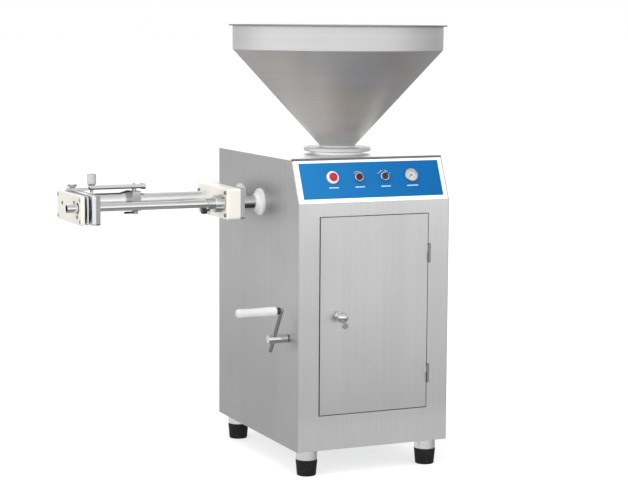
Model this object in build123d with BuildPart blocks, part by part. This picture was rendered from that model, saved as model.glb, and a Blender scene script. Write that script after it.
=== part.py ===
from build123d import *
import os
from math import sin, cos, radians, sqrt

os.makedirs("parts", exist_ok=True)

# ---------------------------------------------------------------- driving dimensions (mm)
# Working coordinates: X from the middle of the cabinet, Y from its front face
# (the front looks along -Y), Z from the floor. OX and OY move the finished
# model so that the middle of its whole outline stands on the origin.
OX, OY = 309.0, -360.0

W, D = 595.0, 757.0              # cabinet width and depth
ZB, ZT, ZS = 95.0, 1127.0, 974.0  # cabinet bottom, top, foot of the slanted console
DPS = 67.0                       # setback of the console's top edge
T = 2.0                          # sheet thickness
XL, XR = -W / 2, W / 2

HX, HY = 10.0, 345.0             # hopper and metering axis
RB, RLIP, RN = 388.0, 402.0, 66.5  # hopper band, lip and neck radius
ZRIM, ZBAND, ZNECK = 1600.0, 1510.0, 1158.0

DOOR = (-211.0, 213.0, 222.0, 928.5)   # door leaf x0, x1, z0, z1
OPEN = (-215.5, 215.5, 219.0, 931.5)   # opening in the front panel
HINGE = (218.0, -4.5)            # hinge axis x, y

NY, NZ = 345.0, 957.0            # stuffing tube axis
GY, GZ = 530.0, 960.0            # guide tube axis
XTIP = -1030.0                   # free end of the stuffing tube
CY, CZ = 89.0, 493.0             # crank axis
SX = -170.0                      # lead screw axis x (y = CY)
VZ = 957.0                       # valve plug axis height
PZ0 = 820.0                      # piston crown at rest


# ---------------------------------------------------------------- helpers
def g(x, y, z):
    return (x + OX, y + OY, z)


def pz(x, y, z):                 # horizontal plane, normal +Z
    return Plane(origin=g(x, y, z))


def px(x, y=0.0, z=0.0):         # upright plane, normal +X, sketch axes (Y, Z)
    return Plane(origin=g(x, y, z), x_dir=(0, 1, 0), z_dir=(1, 0, 0))


def pf(y, x=0.0, z=0.0):         # upright plane, normal -Y, sketch axes (X, Z)
    return Plane(origin=g(x, y, z), x_dir=(1, 0, 0), z_dir=(0, -1, 0))


def lathe(o, d, pts, mode=Mode.ADD):
    """Revolve the (axial, radial) outline pts about the line through o along d."""
    dv = Vector(*d).normalized()
    ref = Vector(0, 0, 1) if abs(dv.Z) < 0.95 else Vector(1, 0, 0)
    with BuildSketch(Plane(origin=o, x_dir=dv, z_dir=dv.cross(ref))) as sk:
        with BuildLine():
            Polyline(*pts, close=True)
        make_face()
    revolve(sk.sketch.faces(), axis=Axis(o, dv), mode=mode)


def block(x0, x1, y0, y1, z0, z1, mode=Mode.ADD):
    with Locations(g((x0 + x1) / 2, (y0 + y1) / 2, (z0 + z1) / 2)):
        Box(x1 - x0, y1 - y0, z1 - z0, mode=mode)


def rod(o, d, r, length, mode=Mode.ADD):
    """Round bar of radius r from o along d."""
    with BuildSketch(Plane(origin=o, z_dir=d)) as sk:
        Circle(r)
    extrude(sk.sketch.faces(), amount=length, mode=mode)


def hexbar(o, d, flats, length, mode=Mode.ADD):
    with BuildSketch(Plane(origin=o, z_dir=d)) as sk:
        RegularPolygon(flats / 2, 6, major_radius=False)
    extrude(sk.sketch.faces(), amount=length, mode=mode)


# slanted console: unit vector up the slope and outward normal
SL = sqrt(DPS ** 2 + (ZT - ZS) ** 2)
US, UN = (0.0, DPS / SL, (ZT - ZS) / SL), (0.0, -(ZT - ZS) / SL, DPS / SL)


def pc(x, s, h=0.0):             # point on the console: x, distance up the slope, height off it
    return g(x, US[1] * s + UN[1] * h, ZS + US[2] * s + UN[2] * h)


CTRL = {"stop": (-150.0, 99.0), "start": (-48.0, 97.0), "mode": (54.0, 97.0), "gauge": (161.0, 99.0)}

# ================================================================ cabinet
SIDE = [(0, ZB), (D, ZB), (D, ZT), (DPS, ZT), (0, ZS)]

with BuildPart() as left_side_panel:
    with BuildSketch(px(XL)):
        with BuildLine():
            Polyline(*SIDE, close=True)
        make_face()
        with Locations((NY, NZ)):
            Circle(23.0, mode=Mode.SUBTRACT)
        with Locations((GY, GZ)):
            Circle(23.0, mode=Mode.SUBTRACT)
        with Locations((CY, CZ)):
            Circle(13.0, mode=Mode.SUBTRACT)
    extrude(amount=T)
left_side_panel.part.label = "left_side_panel"
export_step(left_side_panel.part, "parts/left_side_panel.step")

with BuildPart() as right_side_panel:
    with BuildSketch(px(XR - T)):
        with BuildLine():
            Polyline(*SIDE, close=True)
        make_face()
    extrude(amount=T)
right_side_panel.part.label = "right_side_panel"
export_step(right_side_panel.part, "parts/right_side_panel.step")

with BuildPart() as rear_panel:
    block(XL + T, XR - T, D - T, D, ZB, ZT)
    # two fields of vent slots, and the air inlet hole
    with BuildSketch(pf(D + 3)) as vents:
        for zc in (840, 420):
            with Locations((0, zc)):
                with GridLocations(0, 18, 1, 7):
                    SlotOverall(240, 7)
    extrude(vents.sketch.faces(), amount=-6, mode=Mode.SUBTRACT)
    extrude(vents.sketch.faces(), amount=6, mode=Mode.SUBTRACT)
    rod(g(-150, D + 5, 300), (0, -1, 0), 11.0, 20, mode=Mode.SUBTRACT)
rear_panel.part.label = "rear_panel"
export_step(rear_panel.part, "parts/rear_panel.step")

with BuildPart() as top_panel:
    block(XL + T, XR - T, DPS + 2.2, D - T, ZT - T, ZT)
    # ring and spigot for the hopper, welded in
    rod(g(HX, HY, ZT + 5), (0, 0, -1), 66, 20, mode=Mode.SUBTRACT)
    lathe(g(HX, HY, 0), (0, 0, 1), [(1030.2, 62), (1030.2, 66), (ZT, 66), (ZT, 100), (ZT + 10, 100), (ZT + 10, 62)])
top_panel.part.label = "top_panel"
export_step(top_panel.part, "parts/top_panel.step")

ox0, ox1, oz0, oz1 = OPEN
with BuildPart() as front_panel:
    block(XL + T, XR - T, 0, T, ZB, ZS)
    # folded return round the opening, then an inner lip that the door shuts against
    block(ox0 - T, ox1 + T, T, 24, oz0 - T, oz1 + T)
    block(ox0, ox1, -5, 22, oz0, oz1, mode=Mode.SUBTRACT)
    block(ox0 + 12, ox1 - 12, 15, 30, oz0 + 12, oz1 - 12, mode=Mode.SUBTRACT)
    # slanted console, folded from the same sheet
    with BuildSketch(px(XL + T)) as cs:
        with BuildLine():
            Polyline((0, ZS), (DPS, ZT), (DPS + 2.18, ZT), (2.18, ZS), (2, ZS - 1), (0, ZS - 1), close=True)
        make_face()
    extrude(cs.sketch.faces(), amount=W - 2 * T)
    for name, hr in (("stop", 11.3), ("start", 11.3), ("mode", 11.3), ("gauge", 20.3)):
        x, s = CTRL[name]
        rod(pc(x, s, 10), (0, -UN[1], -UN[2]), hr, 30, mode=Mode.SUBTRACT)
front_panel.part.label = "front_panel"
export_step(front_panel.part, "parts/front_panel.step")

with BuildPart() as control_faceplate:
    with BuildSketch(Plane(origin=pc(0, 85.0), x_dir=(1, 0, 0), z_dir=UN)) as fp:
        RectangleRounded(585, 158, 4)
        for name, hr in (("stop", 11.3), ("start", 11.3), ("mode", 11.3), ("gauge", 20.3)):
            with Locations((CTRL[name][0], CTRL[name][1] - 85.0)):
                Circle(hr, mode=Mode.SUBTRACT)
    extrude(fp.sketch.faces(), amount=1.2)
control_faceplate.part.label = "control_faceplate"
export_step(control_faceplate.part, "parts/control_faceplate.step")

with BuildPart() as machine_frame:
    # ring of 30 x 30 x 3 angle iron, welded to the base plate and the corner posts
    z0 = ZB + T
    block(XL + T, XR - T, T, D - T, z0, z0 + 30)
    block(XL + T + 3, XR - T - 3, T + 3, D - T - 3, z0 + 3, z0 + 40, mode=Mode.SUBTRACT)
    block(XL + T + 30, XR - T - 30, T + 30, D - T - 30, z0 - 5, z0 + 40, mode=Mode.SUBTRACT)
    block(XL + T, XR - T, T, D - T, ZB, ZB + T)
    for sx in (-1, 1):
        for y0, y1, top, ya in ((T, 32, 960, T), (D - T - 30, D - T, ZT - T, D - T - 3)):
            xa, xb = sorted((sx * (W / 2 - T), sx * (W / 2 - T - 30)))
            xc, xd = sorted((sx * (W / 2 - T), sx * (W / 2 - T - 3)))
            block(xa, xb, ya, ya + 3, z0 + 30, top)
            block(xc, xd, y0, y1, z0 + 30, top)
    # folded shelf under the air cylinder, and the stiffer one that carries the valve body
    block(XL + T, XR - T, 255, 435, 215, 219)
    block(XL + T, XR - T, 255, 259, 190, 215)
    block(XL + T, XR - T, 431, 435, 190, 215)
    block(XL + T, XR - T, 245, 445, 876, 884)
    block(XL + T, XR - T, 245, 249, 850, 876)
    block(XL + T, XR - T, 441, 445, 850, 876)
    rod(g(HX, HY, 890), (0, 0, -1), 56.3, 20, mode=Mode.SUBTRACT)
machine_frame.part.label = "machine_frame"
export_step(machine_frame.part, "parts/machine_frame.step")

FEET = [(sx * (W / 2 - 59.5), y) for sx in (-1, 1) for y in (52.1, D - 52.1)]
with BuildPart() as foot_collars:
    for x, y in FEET:
        # cup with the levelling screw welded in its middle
        lathe(g(x, y, 0), (0, 0, 1), [(57.2, 30), (57.2, 36.8), (58.4, 38), (93.5, 38), (95, 36.5), (95, 0),
                                      (30.2, 0), (30.2, 10), (57.2, 10), (57.2, 17), (66, 17), (66, 10),
                                      (88, 10), (88, 30)])
foot_collars.part.label = "foot_collars"
export_step(foot_collars.part, "parts/foot_collars.step")

with BuildPart() as foot_pads:
    for x, y in FEET:
        lathe(g(x, y, 0), (0, 0, 1), [(0, 0), (0, 33), (3, 34.5), (52, 39), (57, 38.6),
                                      (57, 10.1), (30, 10.1), (30, 0)])
foot_pads.part.label = "foot_pads"
export_step(foot_pads.part, "parts/foot_pads.step")

# ================================================================ door
dx0, dx1, dz0, dz1 = DOOR
KX, KZ = -138.0, 576.0           # knob
LKX, LKZ = -113.0, 539.0         # lock

with BuildPart() as door_panel:
    block(dx0, dx1, 0, 20, dz0, dz1)
    block(dx0 + T, dx1 - T, T, 30, dz0 + T, dz1 - T, mode=Mode.SUBTRACT)
    # vertical stiffener welded inside
    block(-20, 20, T, 16, dz0 + T, dz1 - T)
    block(-18, 18, T, 14, dz0 + T, dz1 - T, mode=Mode.SUBTRACT)
    rod(g(KX, -5, KZ), (0, 1, 0), 6.06, 40, mode=Mode.SUBTRACT)
    rod(g(LKX, -5, LKZ), (0, 1, 0), 8.06, 40, mode=Mode.SUBTRACT)
door_panel.part.label = "door_panel"
export_step(door_panel.part, "parts/door_panel.step")

HZ = ((754.0, 819.0), (315.0, 380.0))
with BuildPart() as hinge_frame_halves:
    # lower knuckles with their pins, welded to the front panel
    for a, b in HZ:
        m = (a + b) / 2
        lathe(g(HINGE[0], HINGE[1], 0), (0, 0, 1),
              [(a - 2.5, 0), (a - 2.2, 2.6), (a, 3.6), (a + 1.2, 4.4), (m - 0.15, 4.4), (m - 0.15, 2.5),
               (b + 0.4, 2.5), (b + 0.4, 3.6), (b + 2.4, 2.6), (b + 2.7, 0)])
        block(HINGE[0] + 2.8, HINGE[0] + 15, -1.5, 0, a + 3, m - 1)
hinge_frame_halves.part.label = "hinge_frame_halves"
export_step(hinge_frame_halves.part, "parts/hinge_frame_halves.step")

with BuildPart() as hinge_door_halves:
    for a, b in HZ:
        m = (a + b) / 2
        lathe(g(HINGE[0], HINGE[1], 0), (0, 0, 1),
              [(m + 0.15, 2.55), (m + 0.15, 4.4), (b - 1.2, 4.4), (b, 3.4), (b, 2.55)])
        block(HINGE[0] - 15, HINGE[0] - 2.8, -1.5, 0, m + 1, b - 3)
hinge_door_halves.part.label = "hinge_door_halves"
export_step(hinge_door_halves.part, "parts/hinge_door_halves.step")

with BuildPart() as door_knob:
    # rose, neck, ball and spindle in one turned piece
    o = g(KX, 0, KZ)
    ball = [(31 + 20 * sin(radians(a)), 20 * cos(radians(a))) for a in range(-66, 91, 6)]
    lathe(o, (0, -1, 0), [(-36, 0), (-36, 6), (0.1, 6), (0.1, 15), (2, 15), (4, 12), (5, 8)] + ball[:-1] + [(51, 0)])
    # latch bar fixed to the spindle behind the door frame's lip, shown turned free of it
    with BuildSketch(pf(33, KX, KZ)) as lt:
        with BuildLine():
            Polyline((-11, -12), (11, -12), (11, 66), (5, 74), (-11, 74), close=True)
        make_face()
    extrude(lt.sketch.faces(), amount=4)
door_knob.part.label = "door_knob"
export_step(door_knob.part, "parts/door_knob.step")

with BuildPart() as door_lock:
    lathe(g(LKX, 0, LKZ), (0, -1, 0), [(-18, 0), (-18, 8), (0.1, 8), (0.1, 10.5), (2.4, 10.5), (3.4, 9.5), (3.4, 0)])
    block(LKX - 0.7, LKX + 0.7, -6, -1.5, LKZ - 4.5, LKZ + 4.5, mode=Mode.SUBTRACT)
door_lock.part.label = "door_lock"
export_step(door_lock.part, "parts/door_lock.step")

# ================================================================ controls
BAR = [(-12, 8.3), (-12, 11.2), (1.25, 11.2)]
with BuildPart() as button_collars:
    # ring of the stop button, then the two smaller rings
    x, s = CTRL["stop"]
    lathe(pc(x, s), UN, BAR + [(1.25, 23), (6, 23), (9, 20.5), (9, 15.2), (3, 15.2), (3, 8.3)])
    for name in ("start", "mode"):
        x, s = CTRL[name]
        lathe(pc(x, s), UN, BAR + [(1.25, 17), (8, 17), (9.5, 15.5), (9.5, 12.2), (4, 12.2), (4, 8.3)])
button_collars.part.label = "button_collars"
export_step(button_collars.part, "parts/button_collars.step")

with BuildPart() as stop_button:
    x, s = CTRL["stop"]
    lathe(pc(x, s), UN, [(-10, 0), (-10, 8), (8.2, 8), (8.2, 14.9), (14, 14.9), (15.5, 13.6), (16, 10), (16.2, 0)])
stop_button.part.label = "stop_button"
export_step(stop_button.part, "parts/stop_button.step")

with BuildPart() as start_button:
    x, s = CTRL["start"]
    lathe(pc(x, s), UN, [(-10, 0), (-10, 8), (8.4, 8), (8.4, 11.9), (13, 11.9), (14, 11), (14.4, 6), (14.5, 0)])
start_button.part.label = "start_button"
export_step(start_button.part, "parts/start_button.step")

with BuildPart() as mode_knob:
    x, s = CTRL["mode"]
    lathe(pc(x, s), UN, [(-10, 0), (-10, 8), (4.6, 8), (4.6, 11.9), (12, 11.9), (13, 11), (13, 0)])
    with BuildSketch(Plane(origin=pc(x, s, 12.5), x_dir=(1, 0, 0), z_dir=UN)) as bl:
        SlotOverall(23.5, 7.5, rotation=60)
    extrude(bl.sketch.faces(), amount=11)
mode_knob.part.label = "mode_knob"
export_step(mode_knob.part, "parts/mode_knob.step")

gx, gs = CTRL["gauge"]
with BuildPart() as gauge_case:
    lathe(pc(gx, gs), UN, [(-34, 0), (-34, 20), (1.25, 20), (1.25, 25), (7.5, 25), (9.5, 23), (9.5, 21),
                           (3, 21), (3, 1.0), (5.8, 1.0), (5.8, 0)])
    lathe(pc(gx, gs), UN, [(-50, 0), (-50, 6.5), (-34, 6.5), (-34, 0)])
gauge_case.part.label = "gauge_case"
export_step(gauge_case.part, "parts/gauge_case.step")

with BuildPart() as gauge_needle:
    with BuildSketch(Plane(origin=pc(gx, gs, 4.4), x_dir=(1, 0, 0), z_dir=UN)) as nd:
        Circle(3)
        with BuildLine():
            Polyline((1.35, 2.65), (-10.5, -12.5), (-2.65, -1.35), close=True)
        make_face()
        Circle(1.04, mode=Mode.SUBTRACT)
    extrude(nd.sketch.faces(), amount=0.8)
gauge_needle.part.label = "gauge_needle"
export_step(gauge_needle.part, "parts/gauge_needle.step")

# ================================================================ hopper
HO = g(HX, HY, 0)
with BuildPart() as hopper:
    lathe(HO, (0, 0, 1), [
        (1137, 64.2), (1137, 122), (1139, 124), (1149, 124), (1152, 121), (1152, RN + 1), (1154, RN),
        (ZNECK, RN), (ZBAND, RB), (ZRIM - 2.5, RB), (ZRIM - 2.5, RLIP - 2), (ZRIM - 4.5, RLIP - 1.2),
        (ZRIM - 4.5, RLIP), (ZRIM, RLIP), (ZRIM, RB - 2), (ZBAND + 1, RB - 2), (ZNECK + 0.7, 64.2)])
    # countersunk places for the flange screws
    for a in (45, 135, 225, 315):
        rod(g(HX + 108 * cos(radians(a)), HY + 108 * sin(radians(a)), 1144), (0, 0, 1), 6.6, 10,
            mode=Mode.SUBTRACT)
hopper.part.label = "hopper"
export_step(hopper.part, "parts/hopper.step")

with BuildPart() as socket_screws:
    # four in the hopper flange, four in the gear housing
    for a in (45, 135, 225, 315):
        o = g(HX + 108 * cos(radians(a)), HY + 108 * sin(radians(a)), 0)
        lathe(o, (0, 0, 1), [(1144, 0), (1144, 6.5), (1150.5, 6.5), (1151.5, 5.6), (1151.5, 0)])
        hexbar((o[0], o[1], 1152), (0, 0, -1), 5, 4, mode=Mode.SUBTRACT)
    for y, z in ((583, 985), (583, 927), (315, 997), (315, 915)):
        lathe(g(-445, y, z), (-1, 0, 0), [(0, 0), (0, 6.5), (5, 6.5), (6, 5.5), (6, 0)])
        hexbar(g(-452, y, z), (1, 0, 0), 5, 4, mode=Mode.SUBTRACT)
socket_screws.part.label = "socket_screws"
export_step(socket_screws.part, "parts/socket_screws.step")

# ================================================================ metering unit
with BuildPart() as valve_body:
    block(-80, 100, 260, 430, 884, 1030)
    fillet(valve_body.edges().filter_by(Axis.Y), 10)
    rod(g(HX, 272, VZ), (0, 1, 0), 58, 200, mode=Mode.SUBTRACT)
    lathe(HO, (0, 0, 1), [(1000, 0), (1000, 45), (1012, 45), (1031, 62), (1031, 0)], mode=Mode.SUBTRACT)
    rod(g(HX, HY, 880), (0, 0, 1), 48, 40, mode=Mode.SUBTRACT)
    rod(g(-90, NY, NZ), (1, 0, 0), 17, 60, mode=Mode.SUBTRACT)
valve_body.part.label = "valve_body"
export_step(valve_body.part, "parts/valve_body.step")

with BuildPart() as valve_plug:
    VO = g(HX, 0, VZ)
    lathe(VO, (0, 1, 0), [(272.3, 0), (272.3, 57.95), (429.7, 57.95), (429.7, 15), (536, 15), (536, 0)])
    # open pocket on one side, between the two end lands
    block(HX - 18, HX + 80, 300, 390, VZ - 80, VZ + 80, mode=Mode.SUBTRACT)
valve_plug.part.label = "valve_plug"
export_step(valve_plug.part, "parts/valve_plug.step")

with BuildPart() as valve_actuator:
    # rotary air actuator on the plug's journal, in one piece with the valve's rear cover
    lathe(VO, (0, 1, 0), [(430, 15.05), (430, 66), (442, 66), (442, 40), (458, 40), (458, 55), (545, 55), (548, 52), (548, 0),
                          (538, 0), (538, 15.05)])
    block(HX - 20, HX + 20, 485, 520, VZ + 40, VZ + 68)
valve_actuator.part.label = "valve_actuator"
export_step(valve_actuator.part, "parts/valve_actuator.step")

with BuildPart() as metering_cylinder:
    lathe(HO, (0, 0, 1), [(718, 50), (718, 58), (726, 58), (730, 56), (862, 56), (862, 80), (876, 80),
                          (876, 56), (884, 56), (884, 50)])
metering_cylinder.part.label = "metering_cylinder"
export_step(metering_cylinder.part, "parts/metering_cylinder.step")

CH0 = 628.0                      # underside of the crosshead at rest
with BuildPart() as metering_piston:
    lathe(HO, (0, 0, 1), [(CH0 + 25, 0), (CH0 + 25, 12.5), (PZ0 - 42, 12.5), (PZ0 - 40, 40), (PZ0 - 40, 49.92),
                          (PZ0 - 32, 49.92), (PZ0 - 32, 45), (PZ0 - 27, 45), (PZ0 - 27, 49.92),
                          (PZ0 - 13, 49.92), (PZ0 - 13, 45), (PZ0 - 8, 45), (PZ0 - 8, 49.92),
                          (PZ0 - 2, 49.92), (PZ0, 47.9), (PZ0, 0)])
metering_piston.part.label = "metering_piston"
export_step(metering_piston.part, "parts/metering_piston.step")

with BuildPart() as crosshead:
    with BuildSketch(pz(0, 0, CH0)) as chs:
        with Locations((HX, HY)):
            Circle(46)
        with Locations((SX, CY)):
            Circle(25)
        make_hull()
        with Locations((SX, CY)):
            Circle(12, mode=Mode.SUBTRACT)
    extrude(chs.sketch.faces(), amount=25)
crosshead.part.label = "crosshead"
export_step(crosshead.part, "parts/crosshead.step")

with BuildPart() as air_cylinder:
    # two end caps, the barrel between them and four tie rods
    for z0, z1 in ((219, 249), (500, 530)):
        with BuildSketch(pz(HX, HY, z0)) as cp:
            RectangleRounded(116, 116, 8)
            with GridLocations(94, 94, 2, 2):
                Circle(5.1, mode=Mode.SUBTRACT)
        extrude(cp.sketch.faces(), amount=z1 - z0)
    rod(g(HX, HY, 490), (0, 0, 1), 12.56, 60, mode=Mode.SUBTRACT)
    # port bosses on the right-hand side
    for z in (234, 515):
        rod(g(HX + 58, HY, z), (1, 0, 0), 9, 8)
    lathe(HO, (0, 0, 1), [(249.05, 50), (249.05, 53.5), (499.95, 53.5), (499.95, 50)])
    for sx in (-47, 47):
        for sy in (-47, 47):
            rod(g(HX + sx, HY + sy, 221), (0, 0, 1), 5, 321)
            hexbar(g(HX + sx, HY + sy, 530.05), (0, 0, 1), 16, 8)
air_cylinder.part.label = "air_cylinder"
export_step(air_cylinder.part, "parts/air_cylinder.step")

with BuildPart() as air_piston:
    lathe(HO, (0, 0, 1), [(300, 0), (300, 49.92), (328, 49.92), (328, 12.5), (CH0, 12.5), (CH0, 0)])
air_piston.part.label = "air_piston"
export_step(air_piston.part, "parts/air_piston.step")

# ================================================================ stroke adjustment
with BuildPart() as gear_bracket:
    block(XL + T, XL + T + 6, CY - 40, CY + 40, 440, 600)
    block(XL + T + 6, SX + 26, CY - 28, CY + 28, 545, 553)
    block(SX - 46, SX - 38, CY - 24, CY + 24, 462, 545)
    # gusset under the arm
    with BuildSketch(pf(CY + 28)) as gu:
        with BuildLine():
            Polyline((XL + T + 6, 545), (XL + T + 56, 545), (XL + T + 6, 505), close=True)
        make_face()
    extrude(gu.sketch.faces(), amount=5)
    rod(g(SX, CY, 560), (0, 0, -1), 8.05, 30, mode=Mode.SUBTRACT)
    rod(g(XL, CY, CZ), (1, 0, 0), 10.05, 100, mode=Mode.SUBTRACT)
    # guide pin for the stop nut
    rod(g(SX - 36, CY, 553), (0, 0, 1), 4, 120)
gear_bracket.part.label = "gear_bracket"
export_step(gear_bracket.part, "parts/gear_bracket.step")

GEAR = [(12, 0), (12, 11.6), (24, 23.5), (27, 20), (27, 14), (34, 14), (34, 0)]


XA = -352.0                      # plane of the crank arm
AD = Vector(0, -0.53, 0.848)     # direction of the arm, towards the grip
CC = Vector(*g(XA, CY, CZ))
with BuildPart() as crank_shaft:
    o = g(SX, CY, CZ)
    lathe(o, (-1, 0, 0), GEAR)
    rod(g(SX - 34, CY, CZ), (-1, 0, 0), 10, 120)
    # bright hub outside the panel, drilled for the arm
    lathe(g(0, CY, CZ), (1, 0, 0), [(-374, 0), (-374, 14.5), (-372, 16), (-302, 16), (-300.5, 14.5), (-300.5, 10), (-290, 10), (-290, 0)])
    rod(tuple(CC - AD * 40), AD, 7.5, 80, mode=Mode.SUBTRACT)
crank_shaft.part.label = "crank_shaft"
export_step(crank_shaft.part, "parts/crank_shaft.step")

with BuildPart() as lead_screw:
    lathe(g(SX, CY, CZ), (0, 0, 1), GEAR)
    rod(g(SX, CY, CZ + 34), (0, 0, 1), 8, 700 - CZ - 34)
    # two set collars that hold it in the bracket
    lathe(g(SX, CY, 0), (0, 0, 1), [(536, 7), (536, 14), (544.7, 14), (544.7, 7)])
    lathe(g(SX, CY, 0), (0, 0, 1), [(553.3, 7), (553.3, 13), (558, 13), (558, 7)])
lead_screw.part.label = "lead_screw"
export_step(lead_screw.part, "parts/lead_screw.step")

NUT0 = 609.0                     # underside of the stop nut at rest
with BuildPart() as stop_nut:
    with BuildSketch(pz(SX, CY, NUT0)) as sn:
        Circle(20)
        with Locations((-36, 0)):
            Circle(10)
        with Locations((-20, 0)):
            Rectangle(32, 14)
        Circle(8.05, mode=Mode.SUBTRACT)
        with Locations((-36, 0)):
            Circle(4.1, mode=Mode.SUBTRACT)
    extrude(sn.sketch.faces(), amount=18)
stop_nut.part.label = "stop_nut"
export_step(stop_nut.part, "parts/stop_nut.step")

with BuildPart() as crank_arm:
    rod(tuple(CC - AD * 58), AD, 7.45, 58 + 138)
    fillet(crank_arm.edges().filter_by(GeomType.CIRCLE), 2.5)
    # lug that carries the grip's spindle
    e = CC + AD * 132
    rod((e.X - 3.0, e.Y, e.Z), (-1, 0, 0), 6, 165)
    rod((e.X - 6.5, e.Y, e.Z), (-1, 0, 0), 10, 13.7)
crank_arm.part.label = "crank_arm"
export_step(crank_arm.part, "parts/crank_arm.step")

with BuildPart() as crank_grip:
    ex, ey, ez = e.X, e.Y, e.Z
    lathe((ex, ey, ez), (-1, 0, 0), [(20.5, 6.06), (20.5, 13), (22, 14.6), (30, 15.6), (60, 15.8), (95, 14.6),
                                     (125, 14.2), (150, 15.4), (160, 15.6), (166, 14.4), (169.5, 11), (171, 6), (171, 0),
                                     (168.4, 0), (168.4, 6.06)])
crank_grip.part.label = "crank_grip"
export_step(crank_grip.part, "parts/crank_grip.step")

# ================================================================ linking arm
NO, GO = g(0, NY, NZ), g(0, GY, GZ)
with BuildPart() as panel_pipes:
    # product pipe from the valve to the gear housing, and the tube round the drive shaft
    lathe(NO, (1, 0, 0), [(-377, 17), (-377, 22), (-80, 22), (-80, 17)])
    lathe(GO, (1, 0, 0), [(-377, 22), (-377, 26), (XL, 26), (XL, 22.9), (XL + T, 22.9), (XL + T, 22)])
panel_pipes.part.label = "panel_pipes"
export_step(panel_pipes.part, "parts/panel_pipes.step")

with BuildPart() as panel_flanges:
    for o, rin in ((NO, 22.1), (GO, 26.1)):
        rb = rin + 10
        lathe(o, (1, 0, 0), [(XL, rin), (XL, 49), (XL - 8, 49), (XL - 10.5, 46.5), (XL - 11, 44), (XL - 13, rb + 6),
                             (XL - 17, rb + 1.5), (XL - 26, rb - 4), (XL - 27, rb - 6), (XL - 27, rin)])
panel_flanges.part.label = "panel_flanges"
export_step(panel_flanges.part, "parts/panel_flanges.step")

with BuildPart() as air_motor:
    lathe(GO, (1, 0, 0), [(XL + T, 9.06), (XL + T, 50), (XL + 10, 50), (XL + 10, 40), (-176, 40), (-170, 34), (-170, 0),
                          (-262, 0), (-262, 9.06)])
air_motor.part.label = "air_motor"
export_step(air_motor.part, "parts/air_motor.step")

PR = 35.0                        # pulley radius


def pulley(o, rin):
    lathe(o, (1, 0, 0), [(-436, rin), (-436, PR + 3), (-433, PR + 3), (-433, PR), (-403, PR), (-403, PR + 3),
                         (-400, PR + 3), (-400, rin)])


with BuildPart() as drive_shaft:
    # motor shaft with its pulley keyed on
    rod(g(-438, GY, GZ), (1, 0, 0), 9, 438 - 264)
    pulley(GO, 8)
drive_shaft.part.label = "drive_shaft"
export_step(drive_shaft.part, "parts/drive_shaft.step")

with BuildPart() as twist_belt:
    with BuildSketch(px(-431)) as tb:
        with Locations((NY, NZ)):
            Circle(PR + 3.8)
        with Locations((GY, GZ)):
            Circle(PR + 3.8)
        make_hull()
    with BuildSketch(px(-431)) as ti:
        with Locations((NY, NZ)):
            Circle(PR + 0.4)
        with Locations((GY, GZ)):
            Circle(PR + 0.4)
        make_hull()
    extrude(tb.sketch.faces(), amount=26)
    extrude(ti.sketch.faces(), amount=26, mode=Mode.SUBTRACT)
twist_belt.part.label = "twist_belt"
export_step(twist_belt.part, "parts/twist_belt.step")

BY0, BY1, BZ0, BZ1 = 300.0, 598.0, 900.0, 1012.0   # outline of the gear housing
with BuildPart() as twist_housing:
    with BuildSketch(px(-445, (BY0 + BY1) / 2, (BZ0 + BZ1) / 2)) as th:
        RectangleRounded(BY1 - BY0, BZ1 - BZ0, 9)
    extrude(th.sketch.faces(), amount=52)
    fillet(twist_housing.faces().sort_by(Axis.X)[0].edges(), 4)
    with BuildSketch(px(-439, (BY0 + BY1) / 2, (BZ0 + BZ1) / 2)) as ti2:
        RectangleRounded(BY1 - BY0 - 10, BZ1 - BZ0 - 10, 5)
    extrude(ti2.sketch.faces(), amount=50, mode=Mode.SUBTRACT)
    rod(g(-450, NY, NZ), (1, 0, 0), 20.06, 20, mode=Mode.SUBTRACT)
    rod(g(-450, GY, GZ), (1, 0, 0), 26.05, 8, mode=Mode.SUBTRACT)
twist_housing.part.label = "twist_housing"
export_step(twist_housing.part, "parts/twist_housing.step")

with BuildPart() as twist_back_plate:
    with BuildSketch(px(-393, (BY0 + BY1) / 2, (BZ0 + BZ1) / 2)) as bp:
        RectangleRounded(BY1 - BY0, BZ1 - BZ0, 9)
    extrude(bp.sketch.faces(), amount=16)
    rod(g(-400, NY, NZ), (1, 0, 0), 20.06, 16, mode=Mode.SUBTRACT)
    rod(g(-400, NY, NZ), (1, 0, 0), 17, 40, mode=Mode.SUBTRACT)
    rod(g(-400, GY, GZ), (1, 0, 0), 9.06, 40, mode=Mode.SUBTRACT)
twist_back_plate.part.label = "twist_back_plate"
export_step(twist_back_plate.part, "parts/twist_back_plate.step")

with BuildPart() as belt_tension_knob:
    o = g(-445, 478, 921)
    lathe(o, (-1, 0, 0), [(0, 0), (0, 5), (10, 5), (10, 9), (13, 15), (16, 16), (28, 16), (31, 14), (32, 10), (32, 0)])
    for k in range(6):
        a = radians(60 * k)
        rod((o[0] - 10, o[1] + 19.5 * cos(a), o[2] + 19.5 * sin(a)), (-1, 0, 0), 5.2, 30, mode=Mode.SUBTRACT)
belt_tension_knob.part.label = "belt_tension_knob"
export_step(belt_tension_knob.part, "parts/belt_tension_knob.step")

with BuildPart() as spindle:
    # hollow rotating spindle: bearing in the back plate, thread outside the housing
    lathe(NO, (1, 0, 0), [(-463, 14.5), (-463, 20), (-384.2, 20), (-384.2, 17), (-395, 17), (-399, 14.5)])
    pulley(NO, 19)
spindle.part.label = "spindle"
export_step(spindle.part, "parts/spindle.step")

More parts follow.
